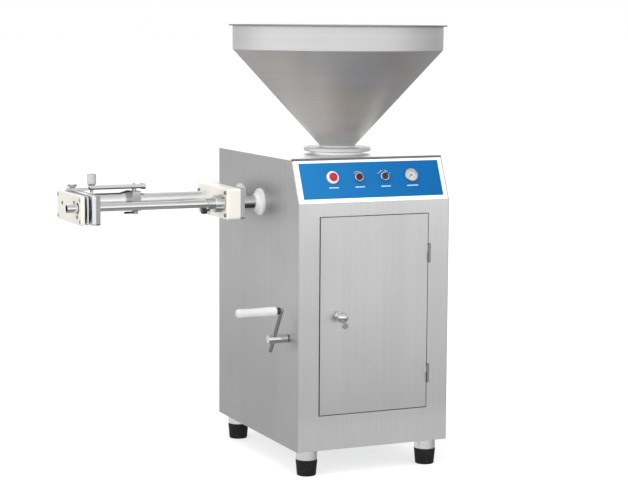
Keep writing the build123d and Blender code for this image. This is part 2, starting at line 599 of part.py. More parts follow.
with BuildPart() as union_nut:
    # slotted round nut with a short neck that draws the stuffing tube on to the spindle
    lathe(NO, (1, 0, 0), [(-506, 18.5), (-504, 20.5), (-484, 20.5), (-481, 22), (-481, 28), (-478, 32), (-450, 33), (-447.5, 31.5), (-447.5, 20.06),
                          (-469.6, 20.06), (-469.6, 14.2), (-506, 14.2)])
    for k in range(4):
        a = radians(90 * k + 20)
        p = (NO[0] - 486, NO[1] + 33 * cos(a), NO[2] + 33 * sin(a))
        rod(p, (1, 0, 0), 6.0, 50, mode=Mode.SUBTRACT)
    rod(g(-493, NY, NZ + 10), (0, 0, 1), 4.0, 15, mode=Mode.SUBTRACT)
union_nut.part.label = "union_nut"
export_step(union_nut.part, "parts/union_nut.step")

with BuildPart() as stuffing_tube:
    lathe(NO, (1, 0, 0), [(XTIP, 13), (XTIP, 13.6), (XTIP + 0.9, 14.5), (-992, 14.5), (-991.5, 14), (-469.5, 14),
                         (-469.5, 19.9), (-463, 19.9), (-463, 13)])
stuffing_tube.part.label = "stuffing_tube"
export_step(stuffing_tube.part, "parts/stuffing_tube.step")

with BuildPart() as guide_tube:
    lathe(GO, (1, 0, 0), [(-975, 22.5), (-975, 25), (-974, 26), (-442, 26), (-442, 22.5)])
guide_tube.part.label = "guide_tube"
export_step(guide_tube.part, "parts/guide_tube.step")

# ---- carriage that slides on the guide tube
with BuildPart() as carriage_sleeve:
    lathe(GO, (1, 0, 0), [(-920, 26.3), (-920, 31), (-776, 31), (-750, 37), (-748, 37.5), (-737, 37.5), (-737, 26.3)])
carriage_sleeve.part.label = "carriage_sleeve"
export_step(carriage_sleeve.part, "parts/carriage_sleeve.step")

with BuildPart() as clamp_block:
    with BuildSketch(px(-737, GY, GZ)) as kb:
        RectangleRounded(72, 72, 5)
        Circle(26.3, mode=Mode.SUBTRACT)
        with Locations((0, -34)):
            Rectangle(3, 30, mode=Mode.SUBTRACT)
    extrude(kb.sketch.faces(), amount=33)
    chamfer(clamp_block.faces().sort_by(Axis.X)[-1].edges().filter_by(GeomType.LINE).filter_by(Axis.Z), 1.0)
    # stud that carries the bar
    lathe(g(-720, GY, 0), (0, 0, 1), [(990, 0), (990, 8), (1004, 8), (1004, 5), (1023, 5), (1024, 4), (1024, 0)])
clamp_block.part.label = "clamp_block"
export_step(clamp_block.part, "parts/clamp_block.step")

with BuildPart() as clamp_lever:
    # ratchet lever under the clamp block
    o = g(-722, GY - 20, 0)
    lathe(o, (0, 0, 1), [(912, 0), (912, 9), (913.5, 10.5), (921, 10.5), (923.7, 8), (923.7, 0)])
    with BuildSketch(pz(-722, GY - 20, 914)) as lv:
        with BuildLine():
            Polyline((0, -6), (-36, -4.5), (-36, 4.5), (0, 6), close=True)
        make_face()
        with Locations((-36, 0)):
            Circle(6.5)
    extrude(lv.sketch.faces(), amount=7)
clamp_lever.part.label = "clamp_lever"
export_step(clamp_lever.part, "parts/clamp_lever.step")

with BuildPart() as top_bar:
    with BuildSketch(pz(-786, GY, 1004)) as tbar:
        SlotOverall(214, 26)
    extrude(tbar.sketch.faces(), amount=15)
    # turned-up end block, and the two holes
    block(-692, -679, GY - 13, GY + 13, 1001, 1022)
    rod(g(-720, GY, 990), (0, 0, 1), 5.05, 40, mode=Mode.SUBTRACT)
    rod(g(-880, GY, 990), (0, 0, 1), 6.06, 40, mode=Mode.SUBTRACT)
top_bar.part.label = "top_bar"
export_step(top_bar.part, "parts/top_bar.step")

with BuildPart() as locking_knob:
    # tall round knob and its screw through the bar
    lathe(g(-880, GY, 0), (0, 0, 1), [(993, 0), (993, 6), (1019.4, 6), (1019.4, 11), (1023, 15), (1026, 16.5), (1058, 16.5),
                                      (1061, 14.5), (1062, 12), (1062, 0)])
    for k in range(12):
        a = radians(30 * k)
        rod(g(-880 + 18.2 * cos(a), GY + 18.2 * sin(a), 1027), (0, 0, 1), 2.6, 30, mode=Mode.SUBTRACT)
locking_knob.part.label = "locking_knob"
export_step(locking_knob.part, "parts/locking_knob.step")

HYC, HZC = (BY0 + BY1) / 2, 950.0
HH, HW = 104.0, 292.0            # height and depth of the casing head
with BuildPart() as head_cover:
    with BuildSketch(px(-991, HYC, HZC)) as hc:
        RectangleRounded(HW, HH, 9)
    extrude(hc.sketch.faces(), amount=14)
    fillet(head_cover.faces().sort_by(Axis.X)[0].edges(), 4)
    rod(g(-1000, NY, NZ), (1, 0, 0), 20, 40, mode=Mode.SUBTRACT)
    for y, z in ((316, 912), (316, 988), (580, 912), (580, 988)):
        rod(g(-986.5, y, z), (-1, 0, 0), 7.2, 10, mode=Mode.SUBTRACT)
head_cover.part.label = "head_cover"
export_step(head_cover.part, "parts/head_cover.step")

with BuildPart() as head_core:
    # dark core with round ends, and the light plate let into its middle
    with BuildSketch(px(-977, HYC, HZC)) as co:
        SlotOverall(HW - 10, 94)
    extrude(co.sketch.faces(), amount=10)
    with BuildSketch(px(-963, HYC, HZC)) as co2:
        SlotOverall(HW - 6, 96)
    extrude(co2.sketch.faces(), amount=13)
    with BuildSketch(px(-967, HYC, HZC)) as co3:
        SlotOverall(HW - 60, 60)
    extrude(co3.sketch.faces(), amount=4)
    rod(g(-1000, NY, NZ), (1, 0, 0), 22, 60, mode=Mode.SUBTRACT)
    rod(g(-1000, GY, GZ), (1, 0, 0), 26.3, 60, mode=Mode.SUBTRACT)
    # soft ring that holds the casing back on the stuffing tube
    lathe(NO, (1, 0, 0), [(-991, 15.1), (-991, 17), (-989, 19.9), (-921, 19.9), (-921, 17.5), (-978, 15.1)])
head_core.part.label = "head_core"
export_step(head_core.part, "parts/head_core.step")

with BuildPart() as head_plates:
    # thin plate inside the core's waist, and the thick light plate behind it
    with BuildSketch(px(-967, HYC, HZC)) as hp:
        RectangleRounded(HW - 2, HH - 3, 8)
        SlotOverall(HW - 60 + 0.02, 60.02, mode=Mode.SUBTRACT)
        with Locations((NY - HYC, NZ - HZC)):
            Circle(22, mode=Mode.SUBTRACT)
        with Locations((GY - HYC, GZ - HZC)):
            Circle(26.3, mode=Mode.SUBTRACT)
    extrude(hp.sketch.faces(), amount=4)
    with BuildSketch(px(-950, HYC, HZC)) as hp2:
        RectangleRounded(HW, HH, 8)
    extrude(hp2.sketch.faces(), amount=14)
    rod(g(-955, NY, NZ), (1, 0, 0), 20, 40, mode=Mode.SUBTRACT)
    rod(g(-955, GY, GZ), (1, 0, 0), 26.3, 40, mode=Mode.SUBTRACT)
    # steel plate at the back
    with BuildSketch(px(-935.9, HYC, HZC)) as hb:
        RectangleRounded(HW, HH, 6)
        with Locations((NY - HYC, NZ - HZC)):
            Circle(20, mode=Mode.SUBTRACT)
        with Locations((GY - HYC, GZ - HZC)):
            Circle(26.3, mode=Mode.SUBTRACT)
    extrude(hb.sketch.faces(), amount=15.9)
head_plates.part.label = "head_plates"
export_step(head_plates.part, "parts/head_plates.step")

with BuildPart() as head_screws:
    for y, z in ((316, 912), (316, 988), (580, 912), (580, 988)):
        lathe(g(-986.5, y, z), (-1, 0, 0), [(0, 0), (0, 6.8), (5.5, 6.8), (6.5, 5.8), (6.5, 0)])
        hexbar(g(-994, y, z), (1, 0, 0), 6, 5, mode=Mode.SUBTRACT)
    # bracket on top of the casing head, reaching to the bar, with a low thumb screw
    block(-972, -896, GY - 13, GY + 13, 1002, 1012)
    lathe(g(-953, GY, 0), (0, 0, 1), [(1012, 0), (1012, 9), (1014, 9), (1016, 12), (1022, 12), (1024, 9.5), (1024, 0)])
    with BuildSketch(pf(GY + 3, -953, 1016)) as wg:
        with BuildLine():
            Polyline((-17, 0), (17, 0), (17, 7), (13, 11), (6, 8), (-6, 8), (-13, 11), (-17, 7), close=True)
        make_face()
    extrude(wg.sketch.faces(), amount=6)
head_screws.part.label = "head_screws"
export_step(head_screws.part, "parts/head_screws.step")

# ================================================================ air supply
with BuildPart() as air_inlet_fitting:
    o = g(-150, 0, 300)
    lathe(o, (0, 1, 0), [(735, 0), (735, 6), (745, 6), (746, 10.9), (D, 10.9), (D, 14), (D + 3, 16), (D + 3, 11), (777, 11), (777, 0)])
    hexbar(g(-150, D + 3, 300), (0, 1, 0), 27, 8)
    rod(g(-150, 777, 300), (0, -1, 0), 6.6, 14, mode=Mode.SUBTRACT)
    rod(g(-150, 777, 300), (0, -1, 0), 4, 40, mode=Mode.SUBTRACT)
air_inlet_fitting.part.label = "air_inlet_fitting"
export_step(air_inlet_fitting.part, "parts/air_inlet_fitting.step")

with BuildPart() as valve_manifold:
    block(XR - T - 30, XR - T, 280, 460, 640, 676)
    for y in (310, 350, 390, 430):
        rod(g(XR - T - 15, y, 640), (0, 0, -1), 7, 8)
    # three valves with their coils
    for y in (320, 370, 420):
        block(XR - T - 28, XR - T - 2, y - 17, y + 17, 676, 740)
        block(XR - T - 25, XR - T - 5, y - 13, y + 13, 740, 772)
valve_manifold.part.label = "valve_manifold"
export_step(valve_manifold.part, "parts/valve_manifold.step")


def tube(pts, radii, r=4.0):
    """Nylon air tube: straight runs joined by tangent arcs."""
    with BuildLine() as path:
        FilletPolyline(*[g(*p) for p in pts], radius=radii)
    w = path.wires()[0]
    with BuildSketch(Plane(origin=w @ 0, z_dir=w % 0)) as sec:
        Circle(r)
    sweep(sec.sketch.faces(), path=w)


with BuildPart() as air_tubes:
    # supply from the inlet to the manifold, then the two lines of the air cylinder
    tube([(-150, 735, 300), (-150, 660, 300), (0, 600, 300), (160, 600, 310), (240, 540, 400), (278.5, 430, 520), (278.5, 430, 632)],
         [40, 60, 60, 60, 60])
    tube([(76, HY, 515), (130, HY, 515), (200, 345, 540), (278.5, 350, 570), (278.5, 350, 632)],
         [40, 60, 30])
    tube([(76, HY, 234), (140, HY, 234), (230, 330, 300), (278.5, 310, 480), (278.5, 310, 632)],
         [40, 60, 60])
air_tubes.part.label = "air_tubes"
export_step(air_tubes.part, "parts/air_tubes.step")
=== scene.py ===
import bpy
import bmesh
import math
from mathutils import Matrix, Vector


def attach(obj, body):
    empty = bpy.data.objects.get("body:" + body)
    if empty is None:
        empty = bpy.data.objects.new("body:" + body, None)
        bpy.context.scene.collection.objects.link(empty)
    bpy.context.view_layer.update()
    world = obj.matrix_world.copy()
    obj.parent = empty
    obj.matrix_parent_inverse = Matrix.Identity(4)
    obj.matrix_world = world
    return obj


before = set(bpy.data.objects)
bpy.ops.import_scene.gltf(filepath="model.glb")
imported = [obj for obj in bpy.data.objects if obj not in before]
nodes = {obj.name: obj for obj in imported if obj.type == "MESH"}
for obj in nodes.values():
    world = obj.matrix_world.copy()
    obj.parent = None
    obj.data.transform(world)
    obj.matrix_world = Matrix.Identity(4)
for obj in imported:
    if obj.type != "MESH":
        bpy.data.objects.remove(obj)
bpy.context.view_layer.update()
scene = bpy.context.scene

# ---------------------------------------------------------------- places, in metres
OX, OY = 0.309, -0.360                 # cabinet middle and front face
SL = math.hypot(0.067, 0.153)
UN = Vector((0, -0.153 / SL, 0.067 / SL))   # out of the console
US = Vector((0, 0.067 / SL, 0.153 / SL))    # up the console
UX = Vector((1, 0, 0))
HOP = Vector((0.319, -0.015, 0))


def P(x, y, z):
    return Vector((x / 1000 + OX, y / 1000 + OY, z / 1000))


def pc(x, s, h=0.0):
    return P(x, 0, 974) + US * (s / 1000) + UN * (h / 1000)


CTRL = {"stop": (-150, 99), "start": (-48, 97), "mode": (54, 97), "gauge": (161, 99)}

# ---------------------------------------------------------------- camera
cam_data = bpy.data.cameras.new("camera")
cam = bpy.data.objects.new("camera", cam_data)
scene.collection.objects.link(cam)
yaw, pitch, roll = math.radians(24.27), math.radians(6.956), math.radians(0.363)
fwd = Vector((math.sin(yaw) * math.cos(pitch), math.cos(yaw) * math.cos(pitch), -math.sin(pitch)))
right = Vector((math.cos(yaw), -math.sin(yaw), 0))
up = right.cross(fwd)
r2 = right * math.cos(roll) + up * math.sin(roll)
u2 = -right * math.sin(roll) + up * math.cos(roll)
cam.matrix_world = Matrix((
    (r2.x, u2.x, -fwd.x, -2.6007),
    (r2.y, u2.y, -fwd.y, -6.2875),
    (r2.z, u2.z, -fwd.z, 1.6258),
    (0, 0, 0, 1)))
cam_data.sensor_width = 36.0
cam_data.sensor_fit = "HORIZONTAL"
cam_data.lens = 107.1
cam_data.clip_start, cam_data.clip_end = 0.05, 500
scene.camera = cam

# ---------------------------------------------------------------- light
scene.view_settings.view_transform = "Standard"
scene.view_settings.look = "None"

# brightness of the studio by the height of the direction
FRONT = [(-1.0, 0.46), (-0.7, 0.25), (-0.42, 0.27), (-0.25, 0.40), (-0.15, 0.73), (-0.07, 1.22), (0.03, 1.34),
         (0.25, 1.24), (0.50, 0.84), (1.0, 0.60)]
BACK_LEFT = [(-1.0, 0.44), (-0.4, 0.46), (-0.24, 0.54), (-0.14, 0.84), (-0.08, 0.76), (0.0, 0.66), (0.2, 0.62), (0.5, 0.60), (1.0, 0.60)]
BACK_RIGHT = [(-1.0, 0.34), (-0.3, 0.36), (-0.04, 0.50), (0.03, 1.20), (0.12, 1.50), (0.30, 1.40), (0.50, 0.90), (1.0, 0.60)]

world = bpy.data.worlds.new("studio")
scene.world = world
world.use_nodes = True
wt = world.node_tree
wt.nodes.clear()


def wn(kind, **ins):
    n = wt.nodes.new(kind)
    for k, v in ins.items():
        n.inputs[k.replace("_", " ")].default_value = v
    return n


def w_range(value, a, b, c, d, smooth=False):
    n = wn("ShaderNodeMapRange", From_Min=a, From_Max=b, To_Min=c, To_Max=d)
    n.interpolation_type = "SMOOTHSTEP" if smooth else "LINEAR"
    wt.links.new(value, n.inputs["Value"])
    return n.outputs[0]


def w_dot(vec):
    n = wt.nodes.new("ShaderNodeVectorMath")
    n.operation = "DOT_PRODUCT"
    n.inputs[1].default_value = vec
    wt.links.new(w_tc.outputs["Generated"], n.inputs[0])
    return n.outputs["Value"]


def w_ramp(value, stops):
    n = wt.nodes.new("ShaderNodeValToRGB")
    while len(n.color_ramp.elements) < len(stops):
        n.color_ramp.elements.new(0.5)
    for e, (z, v) in zip(n.color_ramp.elements, stops):
        e.position = (z + 1) / 2
        e.color = (v, v, v * 1.004, 1)
    wt.links.new(value, n.inputs[0])
    return n.outputs["Color"]


def w_math(kind, a, b):
    n = wt.nodes.new("ShaderNodeMath")
    n.operation = kind
    for i, v in enumerate((a, b)):
        if isinstance(v, bpy.types.NodeSocket):
            wt.links.new(v, n.inputs[i])
        else:
            n.inputs[i].default_value = v
    return n.outputs[0]


w_out = wt.nodes.new("ShaderNodeOutputWorld")
w_bg = wt.nodes.new("ShaderNodeBackground")
w_white = wn("ShaderNodeBackground", Color=(1.0, 1.0, 1.0, 1))
w_shade = wt.nodes.new("ShaderNodeMixShader")
w_lp = wt.nodes.new("ShaderNodeLightPath")
w_tc = wt.nodes.new("ShaderNodeTexCoord")
w_sep = wt.nodes.new("ShaderNodeSeparateXYZ")
wt.links.new(w_tc.outputs["Generated"], w_sep.inputs[0])
# height of the direction, from -1 (down) to 1 (up), read by one ramp ahead of
# the machine and one behind it
h01 = w_range(w_sep.outputs["Z"], -1.0, 1.0, 0.0, 1.0)
ahead = w_ramp(h01, FRONT)
across = w_dot((1.0, 0.0, 0.0))
w_back = wt.nodes.new("ShaderNodeMix")
w_back.data_type = "RGBA"
wt.links.new(w_range(across, -0.25, 0.25, 0.0, 1.0, True), w_back.inputs[0])
wt.links.new(w_ramp(h01, BACK_LEFT), w_back.inputs[6])
wt.links.new(w_ramp(h01, BACK_RIGHT), w_back.inputs[7])
behind = w_back.outputs[2]
w_mix = wt.nodes.new("ShaderNodeMix")
w_mix.data_type = "RGBA"
wt.links.new(w_range(w_dot((0.41, 0.91, 0.0)), -0.25, 0.65, 0.0, 1.0, True), w_mix.inputs[0])
wt.links.new(ahead, w_mix.inputs[6])
wt.links.new(behind, w_mix.inputs[7])
# the studio is darker far to the right, and its floor more so
low = w_range(w_sep.outputs["Z"], -0.35, -0.02, 1.0, 0.0, True)
low_gain = w_range(across, -0.9, 0.9, 1.14, 0.84)
high_gain = w_math("MULTIPLY", w_range(across, 0.55, 1.0, 1.0, 0.56, True), w_range(across, -0.2, 0.5, 1.0, 0.92))
gain = w_math("ADD", high_gain, w_math("MULTIPLY", low, w_math("SUBTRACT", low_gain, high_gain)))
w_mul = wt.nodes.new("ShaderNodeVectorMath")
w_mul.operation = "SCALE"
wt.links.new(w_mix.outputs[2], w_mul.inputs[0])
wt.links.new(gain, w_mul.inputs["Scale"])
wt.links.new(w_mul.outputs[0], w_bg.inputs["Color"])
wt.links.new(w_lp.outputs["Is Camera Ray"], w_shade.inputs[0])
wt.links.new(w_bg.outputs[0], w_shade.inputs[1])
wt.links.new(w_white.outputs[0], w_shade.inputs[2])
wt.links.new(w_shade.outputs[0], w_out.inputs[0])


def aim(obj, target):
    obj.rotation_euler = (Vector(target) - obj.location).to_track_quat("-Z", "Y").to_euler()


def area(name, loc, target, size, watts, sy=None):
    d = bpy.data.lights.new(name, "AREA")
    d.energy = watts
    d.size = size
    if sy:
        d.shape = "RECTANGLE"
        d.size_y = sy
    o = bpy.data.objects.new(name, d)
    scene.collection.objects.link(o)
    o.location = loc
    aim(o, target)
    return o


sun = bpy.data.lights.new("key_sun", "SUN")
sun.energy = 1.35
sun.angle = math.radians(80)
so = bpy.data.objects.new("key_sun", sun)
scene.collection.objects.link(so)
so.location = (-2.0, -4.0, 6.0)
aim(so, (0.1, 0.0, 0.6))
so.visible_glossy = False
area("top_softbox", (-0.6, -0.9, 4.2), (0.1, 0.0, 0.9), 2.4, 50, 1.6).visible_glossy = False
area("left_strip", (-3.6, -1.8, 2.2), (0.0, 0.0, 1.0), 0.7, 20, 2.2).visible_glossy = False


# ---------------------------------------------------------------- shader helpers
class G:
    """A small builder for one procedural material."""

    def __init__(self, name):
        self.m = bpy.data.materials.new(name)
        self.m.use_nodes = True
        self.t = self.m.node_tree
        self.t.nodes.clear()
        self.out = self.t.nodes.new("ShaderNodeOutputMaterial")
        self.b = self.t.nodes.new("ShaderNodeBsdfPrincipled")
        self.t.links.new(self.b.outputs[0], self.out.inputs["Surface"])
        self.tc = self.t.nodes.new("ShaderNodeTexCoord")
        self.obj = self.tc.outputs["Object"]

    def put(self, sock, v):
        if isinstance(v, bpy.types.NodeSocket):
            self.t.links.new(v, sock)
        elif isinstance(v, (tuple, list, Vector)):
            v = tuple(v)
            sock.default_value = v + (1,) if len(v) == 3 and len(sock.default_value) == 4 else v
        else:
            sock.default_value = v

    def scaled(self, s, vec=None, rot=None):
        n = self.t.nodes.new("ShaderNodeMapping")
        self.put(n.inputs["Vector"], vec or self.obj)
        n.inputs["Scale"].default_value = s
        if rot:
            n.inputs["Rotation"].default_value = rot
        return n.outputs[0]

    def noise(self, scale, vec=None, detail=3.0, rough=0.55, distort=0.0):
        n = self.t.nodes.new("ShaderNodeTexNoise")
        self.put(n.inputs["Vector"], vec or self.obj)
        n.inputs["Scale"].default_value = scale
        n.inputs["Detail"].default_value = detail
        n.inputs["Roughness"].default_value = rough
        n.inputs["Distortion"].default_value = distort
        return n.outputs["Fac"]

    def cells(self, scale, vec=None, feature="F1"):
        n = self.t.nodes.new("ShaderNodeTexVoronoi")
        n.feature = feature
        self.put(n.inputs["Vector"], vec or self.obj)
        n.inputs["Scale"].default_value = scale
        return n.outputs["Distance"]

    def mr(self, v, a, b, c, d, smooth=False):
        n = self.t.nodes.new("ShaderNodeMapRange")
        n.clamp = True
        if smooth:
            n.interpolation_type = "SMOOTHSTEP"
        self.put(n.inputs["Value"], v)
        n.inputs["From Min"].default_value = a
        n.inputs["From Max"].default_value = b
        n.inputs["To Min"].default_value = c
        n.inputs["To Max"].default_value = d
        return n.outputs[0]

    def op(self, kind, a, b=None, c=None):
        n = self.t.nodes.new("ShaderNodeMath")
        n.operation = kind
        self.put(n.inputs[0], a)
        if b is not None:
            self.put(n.inputs[1], b)
        if c is not None:
            self.put(n.inputs[2], c)
        return n.outputs[0]

    def mix(self, f, a, b, blend="MIX"):
        n = self.t.nodes.new("ShaderNodeMix")
        n.data_type = "RGBA"
        n.blend_type = blend
        self.put(n.inputs[0], f)
        self.put(n.inputs[6], a)
        self.put(n.inputs[7], b)
        return n.outputs[2]

    def xyz(self, vec=None):
        n = self.t.nodes.new("ShaderNodeSeparateXYZ")
        self.put(n.inputs[0], vec or self.obj)
        return n.outputs[0], n.outputs[1], n.outputs[2]

    def vec(self, x, y, z):
        n = self.t.nodes.new("ShaderNodeCombineXYZ")
        for i, v in enumerate((x, y, z)):
            self.put(n.inputs[i], v)
        return n.outputs[0]

    def bevel(self, radius):
        n = self.t.nodes.new("ShaderNodeBevel")
        n.samples = 4
        n.inputs["Radius"].default_value = radius
        return n.outputs[0]

    def bump(self, height, dist, strength=1.0, normal=None):
        n = self.t.nodes.new("ShaderNodeBump")
        n.inputs["Strength"].default_value = strength
        n.inputs["Distance"].default_value = dist
        self.put(n.inputs["Height"], height)
        if normal is not None:
            self.put(n.inputs["Normal"], normal)
        return n.outputs[0]

    def edge(self, radius, lo=0.02, hi=0.18):
        """1 along convex and concave edges, 0 on flat faces."""
        bv = self.bevel(radius)
        geo = self.t.nodes.new("ShaderNodeNewGeometry")
        n = self.t.nodes.new("ShaderNodeVectorMath")
        n.operation = "DOT_PRODUCT"
        self.put(n.inputs[0], bv)
        self.put(n.inputs[1], geo.outputs["Normal"])
        return self.mr(self.op("SUBTRACT", 1.0, n.outputs["Value"]), lo, hi, 0.0, 1.0)

    def done(self, color, rough, metallic=0.0, normal=None, **extra):
        self.put(self.b.inputs["Base Color"], color)
        self.put(self.b.inputs["Roughness"], rough)
        self.put(self.b.inputs["Metallic"], metallic)
        if normal is not None:
            self.put(self.b.inputs["Normal"], normal)
        for k, v in extra.items():
            self.put(self.b.inputs[k.replace("_", " ")], v)
        return self.m


def tint(c, k):
    return tuple(min(1.0, v * k) for v in c)


def brushed(name, base, rough, grain=(1, 1, 0.01), fine=850.0, var=0.022, smear=0.04, bump=0.00006, edge_r=0.0012,
            wide=70.0, fade=None, front=None):
    """Stainless sheet brushed along the axis whose grain entry is small.

    fade is a list of (height, tone) stops that paint reflection and shade by height; front is (y from, y to, tone at
    the first), a painted change of tone towards the front."""
    g = G(name)
    gv = g.scaled(grain)
    fine_n = g.noise(fine, gv, 2.0, 0.6)
    wide_n = g.noise(wide, gv, 2.0, 0.5)
    cloud = g.noise(3.2, None, 3.0, 0.55)
    smudge = g.mr(g.noise(11.0, g.scaled((1, 1, 0.5)), 4.0, 0.6, 0.6), 0.50, 0.72, 0.0, 1.0, True)
    k = g.op("ADD", g.mr(fine_n, 0.3, 0.7, -var * 1.6, var * 1.6), g.mr(wide_n, 0.3, 0.7, -var, var))
    k = g.op("ADD", k, g.mr(cloud, 0.3, 0.7, -0.03, 0.03))
    col = g.mix(g.mr(k, -0.14, 0.14, 0.0, 1.0), tint(base, 0.86), tint(base, 1.14))
    # painted reflection and shade: the sheet's tone is set by height and, when front is given, changed towards the
    # front
    if fade:
        x, y, z = g.xyz()
        tone = fade[0][1]
        for (z0, t0), (z1, t1) in zip(fade, fade[1:]):
            tone = g.op("ADD", tone, g.mr(z, z0, z1, 0.0, t1 - t0))
        if front:
            y0, y1, t = front
            tone = g.op("MULTIPLY", tone, g.mr(y, y0, y1, t, 1.0, True))
        col = g.mix(1.0, col, tone, "MULTIPLY")
    r = g.op("ADD", g.mr(fine_n, 0.3, 0.7, rough - 0.05, rough + 0.06), g.op("MULTIPLY", smudge, smear))
    nrm = g.bump(fine_n, bump, 1.0, g.bevel(edge_r))
    return g.done(col, r, 1.0, nrm)


def ring_brushed(name, base, rough, cx, cy, fine=1100.0, var=0.05, bump=0.00006, edge_r=0.0012, lip=None):
    """Steel finished round an upright axis: grain runs round, in object space."""
    g = G(name)
    x, y, z = g.xyz()
    dx, dy = g.op("SUBTRACT", x, cx), g.op("SUBTRACT", y, cy)
    rad = g.op("SQRT", g.op("ADD", g.op("MULTIPLY", dx, dx), g.op("MULTIPLY", dy, dy)))
    ux, uy = g.op("DIVIDE", dx, g.op("MAXIMUM", rad, 0.001)), g.op("DIVIDE", dy, g.op("MAXIMUM", rad, 0.001))
    v = g.vec(g.op("MULTIPLY", ux, 0.006), g.op("MULTIPLY", uy, 0.006), g.op("ADD", z, g.op("MULTIPLY", rad, 0.7)))
    fine_n = g.noise(fine, v, 2.0, 0.6)
    wide_n = g.noise(60.0, v, 2.0, 0.5)
    cloud = g.noise(4.0, None, 3.0, 0.6)
    k = g.op("ADD", g.mr(fine_n, 0.3, 0.7, -var, var), g.mr(wide_n, 0.3, 0.7, -var * 0.8, var * 0.8))
    k = g.op("ADD", k, g.mr(cloud, 0.3, 0.7, -0.03, 0.03))
    col = g.mix(g.mr(k, -0.14, 0.14, 0.0, 1.0), tint(base, 0.82), tint(base, 1.14))
    if lip:
        # painted reflection and shade on the hopper: the cone is warmed and lightened against a blue reflection,
        # it is painted darker where it turns to the right and warmer where it faces the front right, and the rolled lip
        # is painted dark as its shade
        z0, r0, k0 = lip
        cone = g.op("MULTIPLY", g.mr(z, 1.505, 1.513, 1.0, 0.0), g.mr(z, 1.185, 1.23, 0.0, 1.0, True))
        col = g.mix(cone, col, g.mix(1.0, col, (1.055, 1.030, 1.005), "MULTIPLY"))
        turn = g.op("ADD", g.op("MULTIPLY", ux, 0.9116), g.op("MULTIPLY", uy, -0.411))
        face = g.mr(g.op("ADD", g.op("MULTIPLY", ux, 0.411), g.op("MULTIPLY", uy, 0.9116)), -0.35, 0.15, 1.0, 0.0, True)
        dark = g.op("SUBTRACT", g.mr(turn, -0.85, 0.42, 0.0, 1.0), g.mr(turn, 0.52, 0.92, 0.0, 1.0))
        dark = g.op("MULTIPLY", dark, g.mr(z, 1.18, 1.40, 1.0, 0.72))
        dark = g.op("MULTIPLY", g.op("MULTIPLY", dark, cone), face)
        col = g.mix(dark, col, g.mix(1.0, col, (0.74, 0.74, 0.74), "MULTIPLY"))
        warm = g.op("MULTIPLY", g.mr(g.op("ABSOLUTE", g.op("SUBTRACT", turn, 0.20)), 0.25, 0.55, 1.0, 0.0, True),
                    g.mr(z, 1.25, 1.36, 0.0, 1.0, True))
        col = g.mix(g.op("MULTIPLY", g.op("MULTIPLY", warm, cone), face), col, g.mix(1.0, col, (1.0, 0.963, 0.927), "MULTIPLY"))
        # painted shade: the rolled lip darkened
        zone = g.op("MULTIPLY", g.mr(z, z0, z0 + 0.0004, 0.0, 1.0), g.mr(rad, r0, r0 + 0.0004, 0.0, 1.0))
        col = g.mix(zone, col, tint(base, k0))
    r = g.mr(g.op("ADD", fine_n, g.op("MULTIPLY", cloud, 0.6)), 0.5, 1.1, rough - 0.06, rough + 0.08)
    return g.done(col, r, 1.0, g.bump(fine_n, bump, 1.0, g.bevel(edge_r)))


def turned(name, base, rough, axis="X", fine=1800.0, var=0.05, bump=0.00003, edge_r=0.0006, dirt=0.0):
    """Turned or ground metal: fine rings across the axis, faint handling marks."""
    g = G(name)
    s = {"X": (1, 0.02, 0.02), "Y": (0.02, 1, 0.02), "Z": (0.02, 0.02, 1)}[axis]
    fine_n = g.noise(fine, g.scaled(s), 2.0, 0.6)
    marks = g.mr(g.noise(45.0, None, 4.0, 0.65, 0.4), 0.48, 0.72, 0.0, 1.0, True)
    col = g.mix(g.mr(fine_n, 0.3, 0.7, 0.0, 1.0), tint(base, 1 - var * 1.5), tint(base, 1 + var))
    if dirt:
        col = g.mix(g.op("MULTIPLY", marks, dirt), col, tint(base, 0.45))
    r = g.op("ADD", g.mr(fine_n, 0.3, 0.7, rough - 0.03, rough + 0.04), g.op("MULTIPLY", marks, 0.08))
    return g.done(col, r, 1.0, g.bump(fine_n, bump, 1.0, g.bevel(edge_r)))


def painted(name, base, rough, peel=420.0, peel_d=0.00006, wear=(0.62, 0.6, 0.56), wear_amt=0.35, edge_r=0.0016,
            mottle=0.05, coat=0.0, grime=0.12):
    """Enamel over metal: orange peel, slightly uneven tone, rubbed edges, faint grime."""
    g = G(name)
    peel_n = g.noise(peel, None, 2.0, 0.5)
    tone = g.noise(16.0, None, 4.0, 0.6)
    spots = g.mr(g.noise(70.0, None, 5.0, 0.7, 0.3), 0.60, 0.78, 0.0, 1.0, True)
    col = g.mix(g.mr(tone, 0.3, 0.7, 0.0, 1.0), tint(base, 1 - mottle), tint(base, 1 + mottle * 0.6))
    col = g.mix(g.op("MULTIPLY", spots, grime), col, tint(base, 0.62))
    if wear_amt:
        e = g.edge(edge_r)
        broken = g.mr(g.noise(230.0, None, 4.0, 0.7), 0.42, 0.62, 0.0, 1.0)
        col = g.mix(g.op("MULTIPLY", g.op("MULTIPLY", e, broken), wear_amt), col, wear)
    r = g.op("ADD", g.mr(tone, 0.3, 0.7, rough - 0.04, rough + 0.05), g.op("MULTIPLY", spots, 0.12))
    return g.done(col, r, 0.0, g.bump(peel_n, peel_d, 1.0, g.bevel(edge_r)), Coat_Weight=coat, Coat_Roughness=0.12)


